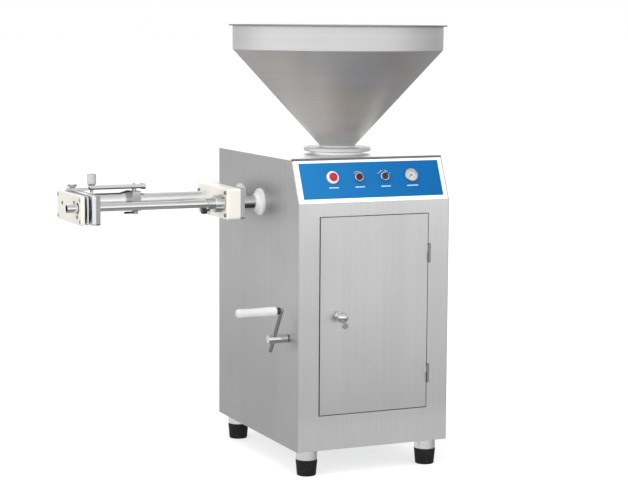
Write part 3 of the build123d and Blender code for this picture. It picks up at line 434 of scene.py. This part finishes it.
def moulded(name, base, rough, grain=900.0, grain_d=0.00005, spec=0.5, dust=0.10, scuff=0.0):
    """Moulded plastic or rubber: fine grain, dust in the pores, lighter rubbed edges."""
    g = G(name)
    gn = g.noise(grain, None, 3.0, 0.6)
    tone = g.noise(24.0, None, 4.0, 0.6)
    dn = g.mr(g.noise(120.0, None, 5.0, 0.7), 0.5, 0.78, 0.0, 1.0, True)
    col = g.mix(g.mr(tone, 0.3, 0.7, 0.0, 1.0), tint(base, 0.9), tint(base, 1.12))
    col = g.mix(g.op("MULTIPLY", dn, dust), col, (0.34, 0.33, 0.31))
    if scuff:
        col = g.mix(g.op("MULTIPLY", g.edge(0.0014), scuff), col, tint(base, 3.0) if sum(base) < 0.6 else tint(base, 0.8))
    r = g.op("ADD", g.mr(gn, 0.3, 0.7, rough - 0.05, rough + 0.06), g.op("MULTIPLY", dn, 0.1))
    return g.done(col, r, 0.0, g.bump(gn, grain_d, 1.0, g.bevel(0.0008)), Specular_IOR_Level=spec)


def cast(name, base, rough, metallic=1.0, grain=260.0, grain_d=0.00025):
    """Cast, plated or coarse metal."""
    g = G(name)
    gn = g.noise(grain, None, 5.0, 0.65)
    tone = g.noise(14.0, None, 4.0, 0.6)
    col = g.mix(g.mr(tone, 0.3, 0.7, 0.0, 1.0), tint(base, 0.86), tint(base, 1.1))
    col = g.mix(g.op("MULTIPLY", g.edge(0.0016), 0.45), col, tint(base, 1.35))
    r = g.mr(gn, 0.3, 0.7, rough - 0.06, rough + 0.08)
    return g.done(col, r, metallic, g.bump(gn, grain_d, 1.0, g.bevel(0.0012)))


# ---------------------------------------------------------------- materials
M = {}
# the side, front and door sheets get painted reflection and shade by height, the side sheet also towards its front edge
M["side"] = brushed("side_sheet", (0.588, 0.583, 0.588), 0.45, fade=[(0.15, 0.90), (0.32, 0.91), (0.66, 1.05), (0.86, 1.05), (1.06, 0.94)],
                    front=(-0.34, 0.02, 1.07))
M["front"] = brushed("front_sheet", (0.78, 0.78, 0.78), 0.38, fade=[(0.10, 0.98), (0.17, 0.96), (0.24, 0.87), (0.60, 0.92), (0.86, 1.0), (0.96, 1.05)])
M["door"] = brushed("door_sheet", (0.765, 0.765, 0.765), 0.37, fine=800.0, fade=[(0.25, 0.84), (0.55, 0.97), (0.90, 1.0)])
M["top"] = brushed("top_sheet", (0.96, 0.96, 0.96), 0.30, grain=(0.01, 1, 1))
M["hopper"] = ring_brushed("hopper_steel", (0.775, 0.772, 0.770), 0.43, HOP.x, HOP.y, var=0.025, lip=(1.5950, 0.3886, 0.40))
M["chrome"] = turned("bright_chrome", (0.78, 0.78, 0.79), 0.10, "X", bump=0.000003, var=0.02)
M["lock"] = turned("lock_barrel", (0.42, 0.42, 0.43), 0.22, "Y", fine=700.0, bump=0.000002, var=0.03)
M["chrome_z"] = turned("bright_chrome_upright", (0.84, 0.84, 0.845), 0.16, "Z", fine=700.0, bump=0.000002, var=0.02)
M["tube"] = turned("polished_tube", (0.84, 0.84, 0.845), 0.12, "X", fine=700.0, bump=0.000002, var=0.015)
M["guide"] = turned("ground_guide", (0.96, 0.96, 0.965), 0.30, "X", fine=400.0, bump=0.0000005, var=0.01)
M["collar"] = turned("foot_collar", (0.96, 0.96, 0.96), 0.24, "Z", fine=400.0, bump=0.0000004, var=0.01)
M["arm"] = turned("crank_arm_steel", (0.50, 0.50, 0.505), 0.22, "Z", fine=500.0, bump=0.000001, var=0.03, dirt=0.2)
M["guide_z"] = turned("ground_knob", (0.78, 0.78, 0.78), 0.34, "Z", bump=0.000005, var=0.03)
M["nut"] = turned("union_steel", (0.72, 0.72, 0.72), 0.13, "X", fine=700.0, bump=0.000003, var=0.03, dirt=0.35)
M["machined"] = turned("machined_steel", (0.55, 0.55, 0.56), 0.28, "Z", bump=0.00003, dirt=0.25)
M["machined_x"] = turned("machined_steel_side", (0.55, 0.55, 0.56), 0.28, "X", bump=0.00003, dirt=0.25)
M["machined_y"] = turned("machined_steel_deep", (0.60, 0.60, 0.60), 0.30, "Y", bump=0.00003, dirt=0.25)
M["bronze"] = turned("turned_bronze", (0.60, 0.38, 0.16), 0.30, "Z", bump=0.00004, dirt=0.3)
M["alu"] = cast("anodised_aluminium", (0.66, 0.67, 0.68), 0.38, 1.0, 420.0, 0.00008)
M["cast"] = cast("cast_steel", (0.46, 0.46, 0.46), 0.46)
M["plate"] = brushed("milled_plate", (0.67, 0.67, 0.675), 0.36, grain=(1, 1, 0.03), fine=600.0, edge_r=0.0008)
M["block"] = brushed("clamp_steel", (0.64, 0.64, 0.645), 0.34, grain=(1, 1, 0.03), fine=600.0, edge_r=0.0008)
M["bar"] = None                          # set below, with the sleeve
M["screw"] = turned("dark_screw", (0.32, 0.32, 0.33), 0.33, "X", bump=0.00001, dirt=0.3)
M["screw_head"] = None                   # set below
M["cream"] = painted("cream_enamel", (0.76, 0.73, 0.67), 0.34, coat=0.10)
# a darker copy of the cream enamel for the casing head's cover: painted shade
M["shaded_cream_head"] = painted("shaded_cream_cover", (0.665, 0.65, 0.58), 0.36, coat=0.08)
M["white"] = moulded("white_plastic", (0.61, 0.61, 0.605), 0.34, 700.0, 0.00003, dust=0.05)
M["grip"] = moulded("white_grip", (0.54, 0.537, 0.54), 0.36, 500.0, 0.00004, dust=0.06)
M["acetal"] = moulded("turned_acetal", (0.84, 0.84, 0.81), 0.38, 600.0, 0.00005, dust=0.05)
M["rubber"] = moulded("black_rubber", (0.005, 0.005, 0.006), 0.55, 600.0, 0.00016, spec=0.3, dust=0.10, scuff=0.22)
M["core"] = moulded("dark_core", (0.020, 0.020, 0.022), 0.17, 500.0, 0.00001, dust=0.03)
M["black"] = moulded("black_plastic", (0.022, 0.022, 0.024), 0.36, 800.0, 0.00008, dust=0.08, scuff=0.3)
M["belt"] = moulded("belt_rubber", (0.02, 0.02, 0.02), 0.6, 400.0, 0.0002)
M["red"] = moulded("red_button", (0.36, 0.012, 0.030), 0.30, 700.0, 0.00002, dust=0.03)
M["dark_red"] = moulded("dark_red_button", (0.055, 0.002, 0.006), 0.20, 700.0, 0.00002, dust=0.01)
M["knob"] = moulded("selector_plastic", (0.018, 0.03, 0.07), 0.28, 700.0, 0.00003, dust=0.04)
M["pale_ring"] = moulded("pale_ring", (0.80, 0.72, 0.72), 0.28, 700.0, 0.00002, dust=0.03)
M["nylon"] = moulded("nylon_tube", (0.03, 0.16, 0.52), 0.28, 500.0, 0.00002, dust=0.04)
M["primer"] = painted("grey_primer", (0.36, 0.37, 0.38), 0.50, peel=260.0, peel_d=0.00012, wear=(0.25, 0.2, 0.17))
M["needle"] = painted("needle_black", (0.02, 0.02, 0.02), 0.45, wear_amt=0.0)
# dark grey strip standing in for the shaded gap at the console's top edge
M["seal"] = moulded("grey_seal", (0.13, 0.13, 0.135), 0.55, 500.0, 0.0001)
M["mark"] = painted("white_ink", (0.52, 0.66, 0.80), 0.42, peel=900.0, peel_d=0.00001, wear_amt=0.0, grime=0.05)
M["mark_black"] = painted("black_ink", (0.05, 0.05, 0.06), 0.42, peel=900.0, peel_d=0.00001, wear_amt=0.0, grime=0.0)


def faceplate():
    """Blue print with a plain white border, under a satin film."""
    g = G("console_print")
    x, y, z = g.xyz()
    # along the plate: x from the middle of the cabinet, s up the slope
    xs = g.op("SUBTRACT", x, OX)
    s = g.op("DIVIDE", g.op("SUBTRACT", z, 0.974 + UN.z * 0.0012), US.z)
    hx = g.op("SUBTRACT", 0.2755, g.op("ABSOLUTE", g.op("SUBTRACT", xs, 0.0025)))
    hy = g.op("SUBTRACT", 0.0671, g.op("ABSOLUTE", g.op("SUBTRACT", s, 0.0876)))
    inside = g.mr(g.op("MINIMUM", hx, hy), -0.0002, 0.0002, 0.0, 1.0)
    cloud = g.noise(7.0, None, 3.0, 0.5)
    fleck = g.noise(900.0, None, 2.0, 0.5)
    # the blue is paler towards the plate's left end, and a little paler towards its top
    blue = g.mix(g.mr(g.op("ADD", xs, g.op("MULTIPLY", cloud, 0.08)), -0.26, 0.30, 0.0, 1.0), (0.012, 0.150, 0.385), (0.001, 0.100, 0.305))
    blue = g.mix(g.mr(s, 0.02, 0.16, 0.0, 0.16), blue, (0.006, 0.17, 0.42))
    white = g.mix(g.mr(cloud, 0.3, 0.7, 0.0, 1.0), (0.86, 0.88, 0.90), (0.92, 0.93, 0.94))
    col = g.mix(inside, white, blue)
    r = g.mr(fleck, 0.3, 0.7, 0.30, 0.40)
    return g.done(col, r, 0.0, g.bump(fleck, 0.00002, 1.0, g.bevel(0.0005)), Specular_IOR_Level=0.12)


M["faceplate"] = faceplate()


def head_plates_mat():
    """Thin and thick light plates ahead of the dark steel plate, told apart by their place along the arm."""
    g = G("head_plate_steel")
    x, y, z = g.xyz()
    gv = g.scaled((1, 1, 0.03))
    fine = g.noise(600.0, gv, 2.0, 0.6)
    cloud = g.noise(18.0, None, 4.0, 0.6)
    k = g.mr(g.op("ADD", fine, g.op("MULTIPLY", cloud, 0.5)), 0.5, 1.0, 0.0, 1.0)
    light = g.mix(k, (0.68, 0.68, 0.72), (0.80, 0.80, 0.84))
    dark = g.mix(k, (0.38, 0.38, 0.39), (0.48, 0.48, 0.49))
    back = g.mr(x, -0.62705, -0.62695, 0.0, 1.0)
    col = g.mix(back, light, dark)
    rough = g.mr(fine, 0.3, 0.7, 0.28, 0.38)
    return g.done(col, rough, g.mr(x, -0.62705, -0.62695, 0.55, 1.0), g.bump(fine, 0.00005, 1.0, g.bevel(0.0008)))


M["head_plates"] = head_plates_mat()


def gauge_mat():
    """Bright case; the dial face inside it is white."""
    g = G("gauge_case_and_dial")
    x, y, z = g.xyz()
    c = pc(161, 99)
    dx = g.op("SUBTRACT", x, c.x)
    # height off the console
    h = g.op("ADD", g.op("MULTIPLY", g.op("SUBTRACT", y, c.y), UN.y), g.op("MULTIPLY", g.op("SUBTRACT", z, c.z), UN.z))
    ds = g.op("ADD", g.op("MULTIPLY", g.op("SUBTRACT", y, c.y), US.y), g.op("MULTIPLY", g.op("SUBTRACT", z, c.z), US.z))
    rad = g.op("SQRT", g.op("ADD", g.op("MULTIPLY", dx, dx), g.op("MULTIPLY", ds, ds)))
    dial = g.op("MULTIPLY", g.mr(h, 0.0031, 0.0032, 1.0, 0.0), g.mr(rad, 0.0208, 0.0209, 1.0, 0.0))
    n1 = g.noise(500.0, None, 3.0, 0.6)
    metal = g.mix(g.mr(n1, 0.3, 0.7, 0.0, 1.0), (0.74, 0.74, 0.75), (0.86, 0.86, 0.86))
    white = g.mix(g.mr(n1, 0.3, 0.7, 0.0, 1.0), (0.84, 0.85, 0.85), (0.90, 0.90, 0.90))
    col = g.mix(dial, metal, white)
    return g.done(col, g.mr(n1, 0.3, 0.7, 0.14, 0.24), g.op("SUBTRACT", 1.0, dial),
                  g.bump(n1, 0.00001, 1.0, g.bevel(0.0005)))


M["gauge"] = gauge_mat()


def collar_mat():
    """Pale ring for the stop button, bright rings for the other two."""
    g = G("collar_rings")
    x, y, z = g.xyz()
    n1 = g.noise(600.0, None, 3.0, 0.6)
    left = g.mr(x, OX - 0.1001, OX - 0.0999, 1.0, 0.0)
    pale = g.mix(g.mr(n1, 0.3, 0.7, 0.0, 1.0), (0.80, 0.62, 0.64), (0.88, 0.72, 0.73))
    metal = g.mix(g.mr(n1, 0.3, 0.7, 0.0, 1.0), (0.68, 0.68, 0.69), (0.80, 0.80, 0.80))
    return g.done(g.mix(left, metal, pale), g.mr(n1, 0.3, 0.7, 0.18, 0.28), g.op("SUBTRACT", 1.0, left),
                  g.bump(n1, 0.00001, 1.0, g.bevel(0.0008)))


M["collars"] = collar_mat()


def threaded(name, base, cx, cy, z0, z1, pitch):
    """Turned steel with a screw thread between two heights."""
    g = G(name)
    x, y, z = g.xyz()
    ang = g.op("DIVIDE", g.op("ARCTAN2", g.op("SUBTRACT", y, cy), g.op("SUBTRACT", x, cx)), 2 * math.pi)
    ph = g.op("FRACT", g.op("SUBTRACT", g.op("DIVIDE", z, pitch), ang))
    tri = g.op("ABSOLUTE", g.op("SUBTRACT", g.op("MULTIPLY", ph, 2.0), 1.0))
    zone = g.op("MULTIPLY", g.mr(z, z0, z0 + 0.0005, 0.0, 1.0), g.mr(z, z1 - 0.0005, z1, 1.0, 0.0))
    height = g.op("MULTIPLY", g.mr(tri, 0.2, 0.8, 0.0, 1.0), zone)
    n1 = g.noise(300.0, None, 4.0, 0.6)
    col = g.mix(g.mr(n1, 0.3, 0.7, 0.0, 1.0), tint(base, 0.85), tint(base, 1.1))
    # painted shade: the thread's grooves are darkened where the bump alone casts none
    col = g.mix(g.op("MULTIPLY", g.op("MULTIPLY", g.op("SUBTRACT", 1.0, tri), zone), 0.35), col, tint(base, 0.4))
    return g.done(col, g.mr(n1, 0.3, 0.7, 0.24, 0.36), 1.0, g.bump(height, 0.0009, 1.0, g.bevel(0.0006)))


def zoned(name, base, rough, axis, zones, grain=(0.03, 1, 1), fine=700.0):
    """Ground steel whose tone changes over stretches of one axis: (from, to, tone)."""
    g = G(name)
    c = g.xyz()["XYZ".index(axis)]
    n1 = g.noise(fine, g.scaled(grain), 2.0, 0.6)
    cloud = g.noise(14.0, None, 4.0, 0.6)
    col = g.mix(g.mr(g.op("ADD", n1, g.op("MULTIPLY", cloud, 0.4)), 0.45, 0.95, 0.0, 1.0), tint(base, 0.97), tint(base, 1.03))
    for z0, z1, k, soft in zones:
        w = g.op("MULTIPLY", g.mr(c, z0 - soft, z0 + soft, 0.0, 1.0), g.mr(c, z1 - soft, z1 + soft, 1.0, 0.0))
        col = g.mix(w, col, tint(base, k))
    return g.done(col, g.mr(n1, 0.3, 0.7, rough - 0.03, rough + 0.04), 1.0, g.bump(n1, 0.000003, 1.0, g.bevel(0.0008)))


# painted shade: the bar is darkened along its lower edge, the sleeve at its flared end
M["bar"] = zoned("milled_bar", (0.76, 0.76, 0.765), 0.33, "Z", [(0.99, 1.0092, 0.14, 0.0010)])
M["hinge"] = zoned("hinge_steel", (0.74, 0.74, 0.74), 0.34, "X", [(0.5224, 0.5316, 0.46, 0.0003)], (1, 1, 0.03))
M["screw_head"] = zoned("head_screw", (0.66, 0.65, 0.65), 0.30, "Z", [(0.89, 1.0016, 0.93, 0.0002), (1.0121, 1.03, 0.72, 0.0002)])
M["lever"] = zoned("ratchet_lever", (0.52, 0.52, 0.52), 0.32, "X", [(-0.60, -0.4225, 0.10, 0.0005)])
# painted dark reflection: the outlet pipe is darkened over its lower part
M["pipe"] = zoned("outlet_pipe", (0.93, 0.93, 0.93), 0.16, "Z", [(0.90, 0.9540, 0.13, 0.006)])
# painted shade and reflection at the sleeve's flared end
M["sleeve"] = zoned("ground_sleeve", (0.96, 0.96, 0.96), 0.30, "X", [(-0.452, -0.427, 0.42, 0.004)])
M["lead"] = threaded("lead_screw_thread", (0.58, 0.58, 0.59), 0.139, -0.271, 0.560, 0.700, 0.005)

ASSIGN = {
    "left_side_panel": "side", "right_side_panel": "side", "rear_panel": "front", "top_panel": "top",
    "front_panel": "front", "control_faceplate": "faceplate", "machine_frame": "primer", "foot_collars": "collar",
    "foot_pads": "rubber", "door_panel": "door", "hinge_frame_halves": "hinge", "hinge_door_halves": "hinge",
    "door_knob": "chrome", "door_lock": "lock", "button_collars": "collars", "stop_button": "red",
    "start_button": "dark_red", "mode_knob": "knob", "gauge_case": "gauge", "gauge_needle": "needle",
    "hopper": "hopper", "socket_screws": "screw", "valve_body": "cast", "valve_plug": "acetal",
    "valve_actuator": "alu", "metering_cylinder": "machined", "metering_piston": "machined", "crosshead": "alu",
    "air_cylinder": "alu", "air_piston": "machined", "gear_bracket": "primer", "crank_shaft": "chrome",
    "lead_screw": "lead", "stop_nut": "bronze", "crank_arm": "arm", "crank_grip": "grip",
    "panel_pipes": "pipe", "panel_flanges": "white", "air_motor": "alu", "drive_shaft": "machined_x",
    "twist_belt": "belt", "twist_housing": "cream", "twist_back_plate": "plate", "belt_tension_knob": "black",
    "spindle": "machined_x", "union_nut": "nut", "stuffing_tube": "tube", "guide_tube": "guide",
    "carriage_sleeve": "sleeve", "clamp_block": "block", "clamp_lever": "lever", "top_bar": "bar",
    "locking_knob": "guide_z", "head_cover": "shaded_cream_head", "head_core": "core", "head_plates": "head_plates",
    "head_screws": "screw_head", "air_inlet_fitting": "machined_y", "valve_manifold": "black", "air_tubes": "nylon",
}
for name, key in ASSIGN.items():
    o = nodes[name]
    if not o.material_slots:
        o.data.materials.append(M[key])
    for s in o.material_slots:
        s.material = M[key]


# ---------------------------------------------------------------- mesh helpers
def obj_from(bm, name, mat, body, smooth=35.0):
    bmesh.ops.recalc_face_normals(bm, faces=bm.faces)
    me = bpy.data.meshes.new(name)
    bm.to_mesh(me)
    bm.free()
    me.materials.append(mat)
    o = bpy.data.objects.new(name, me)
    scene.collection.objects.link(o)
    for p in me.polygons:
        p.use_smooth = True
    me.set_sharp_from_angle(angle=math.radians(smooth))
    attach(o, body)
    return o


def basis(d):
    d = Vector(d).normalized()
    ref = Vector((0, 0, 1)) if abs(d.z) < 0.9 else Vector((1, 0, 0))
    a = ref.cross(d).normalized()
    return d, a, d.cross(a)


def add_lathe(bm, o, d, pts, seg=48, closed=True):
    """Revolve (axial, radial) points, in metres, about the line from o along d."""
    d, a, b = basis(d)
    o = Vector(o)
    rings = []
    for ax, r in pts:
        if r < 1e-7:
            rings.append([bm.verts.new(o + d * ax)])
        else:
            rings.append([bm.verts.new(o + d * ax + (a * math.cos(t) + b * math.sin(t)) * r)
                          for t in (2 * math.pi * k / seg for k in range(seg))])
    pairs = list(zip(rings, rings[1:] + rings[:1])) if closed else list(zip(rings, rings[1:]))
    for p, q in pairs:
        if len(p) == 1 and len(q) == 1:
            continue
        for k in range(seg):
            j = (k + 1) % seg
            if len(p) == 1:
                bm.faces.new((p[0], q[k], q[j]))
            elif len(q) == 1:
                bm.faces.new((p[k], q[0], p[j]))
            else:
                bm.faces.new((p[k], q[k], q[j], p[j]))


def add_prism(bm, pts, n, t):
    """A flat plate: outline pts in space, raised by t along n."""
    n = Vector(n).normalized() * t
    lo = [bm.verts.new(Vector(p)) for p in pts]
    hi = [bm.verts.new(Vector(p) + n) for p in pts]
    bm.faces.new(lo[::-1])
    bm.faces.new(hi)
    for k in range(len(pts)):
        j = (k + 1) % len(pts)
        bm.faces.new((lo[k], lo[j], hi[j], hi[k]))


def ring_arc(bm, x, s, r0, r1, a0, a1, h, t, seg=24):
    """A printed arc on the console, angles in degrees from straight up, clockwise."""
    pts = []
    for k in range(seg + 1):
        a = math.radians(a0 + (a1 - a0) * k / seg)
        pts.append((x + r1 * math.sin(a), s + r1 * math.cos(a)))
    for k in range(seg, -1, -1):
        a = math.radians(a0 + (a1 - a0) * k / seg)
        pts.append((x + r0 * math.sin(a), s + r0 * math.cos(a)))
    for k in range(seg):
        q = [pts[k], pts[k + 1], pts[2 * seg - k], pts[2 * seg + 1 - k]]
        lo = [bm.verts.new(pc(px, ps, h)) for px, ps in q]
        hi = [bm.verts.new(pc(px, ps, h + t)) for px, ps in q]
        bm.faces.new(hi)
        bm.faces.new(lo[::-1])
        bm.faces.new((lo[0], lo[1], hi[1], hi[0]))
        bm.faces.new((lo[2], lo[3], hi[3], hi[2]))
        if k == 0:
            bm.faces.new((lo[3], lo[0], hi[0], hi[3]))
        if k == seg - 1:
            bm.faces.new((lo[1], lo[2], hi[2], hi[1]))
    bmesh.ops.remove_doubles(bm, verts=bm.verts, dist=1e-7)


def con_rect(bm, x0, x1, s0, s1, h, t, r=0.0):
    if r:
        pts = []
        for cx, cs, a0 in ((x1 - r, s1 - r, 0), (x0 + r, s1 - r, 90), (x0 + r, s0 + r, 180), (x1 - r, s0 + r, 270)):
            for k in range(7):
                a = math.radians(a0 + 15 * k)
                pts.append((cx + r * math.cos(a), cs + r * math.sin(a)))
    else:
        pts = [(x0, s0), (x1, s0), (x1, s1), (x0, s1)]
    add_prism(bm, [pc(px, ps, h) for px, ps in pts], UN, t / 1000)


def con_disc(bm, x, s, r, h, t, seg=32):
    add_prism(bm, [pc(x + r * math.cos(2 * math.pi * k / seg), s + r * math.sin(2 * math.pi * k / seg), h)
                   for k in range(seg)], UN, t / 1000)


# ---------------------------------------------------------------- console details
H0, HT = 1.22, 0.16                    # printed marks lie on the face plate (mm)
bm = bmesh.new()
for cx, half in ((-150, 19), (-48, 19), (54, 19), (161, 22)):
    con_rect(bm, cx - half, cx + half, 59.5, 63, H0, HT, 1.2)          # bare legend strips under the controls
ring_arc(bm, 54, 97, 23.0, 25.0, -52, -8, H0, HT)
ring_arc(bm, 54, 97, 23.0, 25.0, 8, 52, H0, HT)
con_disc(bm, 54 - 27.0 * math.sin(math.radians(60)), 97 + 27.0 * math.cos(math.radians(60)), 1.6, H0, HT)
con_disc(bm, 54 + 27.0 * math.sin(math.radians(60)), 97 + 27.0 * math.cos(math.radians(60)), 1.6, H0, HT)
ring_arc(bm, -48, 97, 21.5, 23.0, -50, 50, H0, HT)
obj_from(bm, "console_marks", M["mark"], "root")

# dark grey strip along the top edge of the console, a painted shadow for the gap under the top panel
bm = bmesh.new()
add_prism(bm, [P(-295, 63.0, 1127.2), P(-295, 70.5, 1127.2), P(-295, 70.5, 1131.0), P(-295, 69.3, 1132.4),
               P(-295, 64.4, 1132.4), P(-295, 63.0, 1131.0)], (1, 0, 0), 0.590)
obj_from(bm, "console_top_seal", M["seal"], "root")

# gauge: printed scale, numbers and a domed lens
gc = (161, 99)
bm = bmesh.new()
ring_arc(bm, gc[0], gc[1], 17.3, 17.6, -135, 135, 3.02, 0.1, 54)
for k in range(51):
    a = math.radians(-135 + 270 * k / 50)
    major = k % 5 == 0
    r0, r1, w = (14.2 if major else 15.8), 17.3, (0.34 if major else 0.16)
    ux, us_ = math.sin(a), math.cos(a)
    px_, ps_ = math.cos(a), -math.sin(a)
    pts = [(gc[0] + ux * r0 - px_ * w / 2, gc[1] + us_ * r0 - ps_ * w / 2),
           (gc[0] + ux * r0 + px_ * w / 2, gc[1] + us_ * r0 + ps_ * w / 2),
           (gc[0] + ux * r1 + px_ * w / 2, gc[1] + us_ * r1 + ps_ * w / 2),
           (gc[0] + ux * r1 - px_ * w / 2, gc[1] + us_ * r1 - ps_ * w / 2)]
    add_prism(bm, [pc(a_, b_, 3.12) for a_, b_ in pts], UN, 0.00006)
obj_from(bm, "gauge_scale", M["mark_black"], "root")

for k in range(0, 11, 2):
    a = math.radians(-135 + 270 * k / 10)
    cu = bpy.data.curves.new(f"gauge_number_{k}", "FONT")
    cu.body = str(k)
    cu.size = 0.0042
    cu.align_x, cu.align_y = "CENTER", "CENTER"
    cu.extrude = 0.00004
    t = bpy.data.objects.new(f"gauge_number_{k}", cu)
    scene.collection.objects.link(t)
    o = pc(gc[0] + 11.4 * math.sin(a), gc[1] + 11.4 * math.cos(a), 3.16)
    t.matrix_world = Matrix(((UX.x, US.x, UN.x, o.x), (UX.y, US.y, UN.y, o.y), (UX.z, US.z, UN.z, o.z), (0, 0, 0, 1)))
    bpy.context.view_layer.update()
    me = bpy.data.meshes.new_from_object(t)
    me.transform(t.matrix_world)
    bpy.data.objects.remove(t)
    me.materials.clear()
    me.materials.append(M["mark_black"])
    tt = bpy.data.objects.new(f"gauge_number_{k}", me)
    scene.collection.objects.link(tt)
    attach(tt, "root")

g = G("gauge_glass")
gn = g.noise(60.0, None, 3.0, 0.6)
M["glass"] = g.done((0.98, 0.99, 0.99), g.mr(gn, 0.4, 0.7, 0.01, 0.05), 0.0, None, Transmission_Weight=1.0, IOR=1.45)
bm = bmesh.new()
add_lathe(bm, pc(*gc), UN, [(0.0062, 0), (0.0062, 0.0208), (0.0076, 0.0208), (0.0082, 0.015), (0.0085, 0.008), (0.0086, 0)], 64)
obj_from(bm, "gauge_lens", M["glass"], "root")

# dark ferrule between the crank arm and its grip
L = math.hypot(0.53, 0.848)
gx, gy, gz = -352, 89 - 132 * 0.53 / L, 493 + 132 * 0.848 / L
bm = bmesh.new()
add_lathe(bm, P(gx, gy, gz), (-1, 0, 0), [(0.0066, 0.01003), (0.0066, 0.0112), (0.0074, 0.0122), (0.0190, 0.0126),
                                           (0.0200, 0.0118), (0.0200, 0.01003)], 40)
obj_from(bm, "crank_ferrule", M["black"], "crank")

# three low socket screws in the casing head's cover: at the guide tube's end,
# and above and below the stuffing tube
bm = bmesh.new()
for y, z in ((525, 961), (382, 975), (346, 926)):
    add_lathe(bm, P(-991, y, z), (-1, 0, 0), [(-0.001, 0), (-0.001, 0.0062), (0.0016, 0.0062), (0.0024, 0.0054), (0.0026, 0.0036),
                                              (0.0010, 0.0034), (0.0010, 0)], 32)
obj_from(bm, "cover_screws", M["screw"], "carriage")

# pan head screws round the rear panel
bm = bmesh.new()
for x in (-285, -95, 95, 285):
    for z in (108, 1114):
        add_lathe(bm, P(x, 757, z), (0, 1, 0), [(-0.001, 0), (-0.001, 0.0052), (0.0009, 0.0052), (0.0021, 0.0043),
                                                (0.0027, 0.0026), (0.0028, 0.0013), (0.0018, 0.0011), (0.0018, 0)], 24)
for z in (360, 610, 860):
    for x in (-285, 285):
        add_lathe(bm, P(x, 757, z), (0, 1, 0), [(-0.001, 0), (-0.001, 0.0052), (0.0009, 0.0052), (0.0021, 0.0043),
                                                (0.0027, 0.0026), (0.0028, 0.0013), (0.0018, 0.0011), (0.0018, 0)], 24)
obj_from(bm, "rear_screws", M["screw"], "root")


# ground weld seams of the hopper: round the foot of the band, and up the back
def add_bead(bm, pts, rad, seg=8):
    rings = []
    n = len(pts)
    for i, p in enumerate(pts):
        t = (pts[min(i + 1, n - 1)] - pts[max(i - 1, 0)]).normalized()
        _, a, b = basis(t)
        rr = rad * (1.0 + 0.12 * math.sin(i * 1.9))
        rings.append([bm.verts.new(p + (a * math.cos(u) + b * math.sin(u)) * rr)
                      for u in (2 * math.pi * k / seg for k in range(seg))])
    for p, q in zip(rings, rings[1:]):
        for k in range(seg):
            j = (k + 1) % seg
            bm.faces.new((p[k], q[k], q[j], p[j]))
    bm.faces.new(rings[0][::-1])
    bm.faces.new(rings[-1])


bm = bmesh.new()
a = math.radians(62)
ca, sa = math.cos(a), math.sin(a)
add_bead(bm, [HOP + Vector((ca * 0.3880, sa * 0.3880, 1.512 + 0.0815 * k / 60)) for k in range(61)], 0.0011)
add_bead(bm, [HOP + Vector((ca * (0.0672 + 0.3203 * k / 150), sa * (0.0672 + 0.3203 * k / 150), 1.1590 + 0.3505 * k / 150))
              for k in range(151)], 0.0011)
obj_from(bm, "hopper_weld_seams", M["hopper"], "root")

# ---------------------------------------------------------------- floor
g = G("pale_floor")
fn = g.noise(1.3, None, 3.0, 0.5)
floor_mat = g.done(g.mix(g.mr(fn, 0.3, 0.7, 0.0, 1.0), (0.48, 0.48, 0.48), (0.50, 0.50, 0.50)),
                   g.mr(fn, 0.3, 0.7, 0.75, 0.85), 0.0, None, Specular_IOR_Level=0.1,
                   Emission_Color=(1.0, 1.0, 1.0), Emission_Strength=0.60)
bm = bmesh.new()
bmesh.ops.create_circle(bm, cap_ends=True, radius=150.0, segments=96)
me = bpy.data.meshes.new("floor")
bm.to_mesh(me)
bm.free()
me.materials.append(floor_mat)
floor = bpy.data.objects.new("floor", me)
scene.collection.objects.link(floor)
floor.location = (0, 0, -0.0006)
floor.visible_glossy = False

bpy.context.view_layer.update()
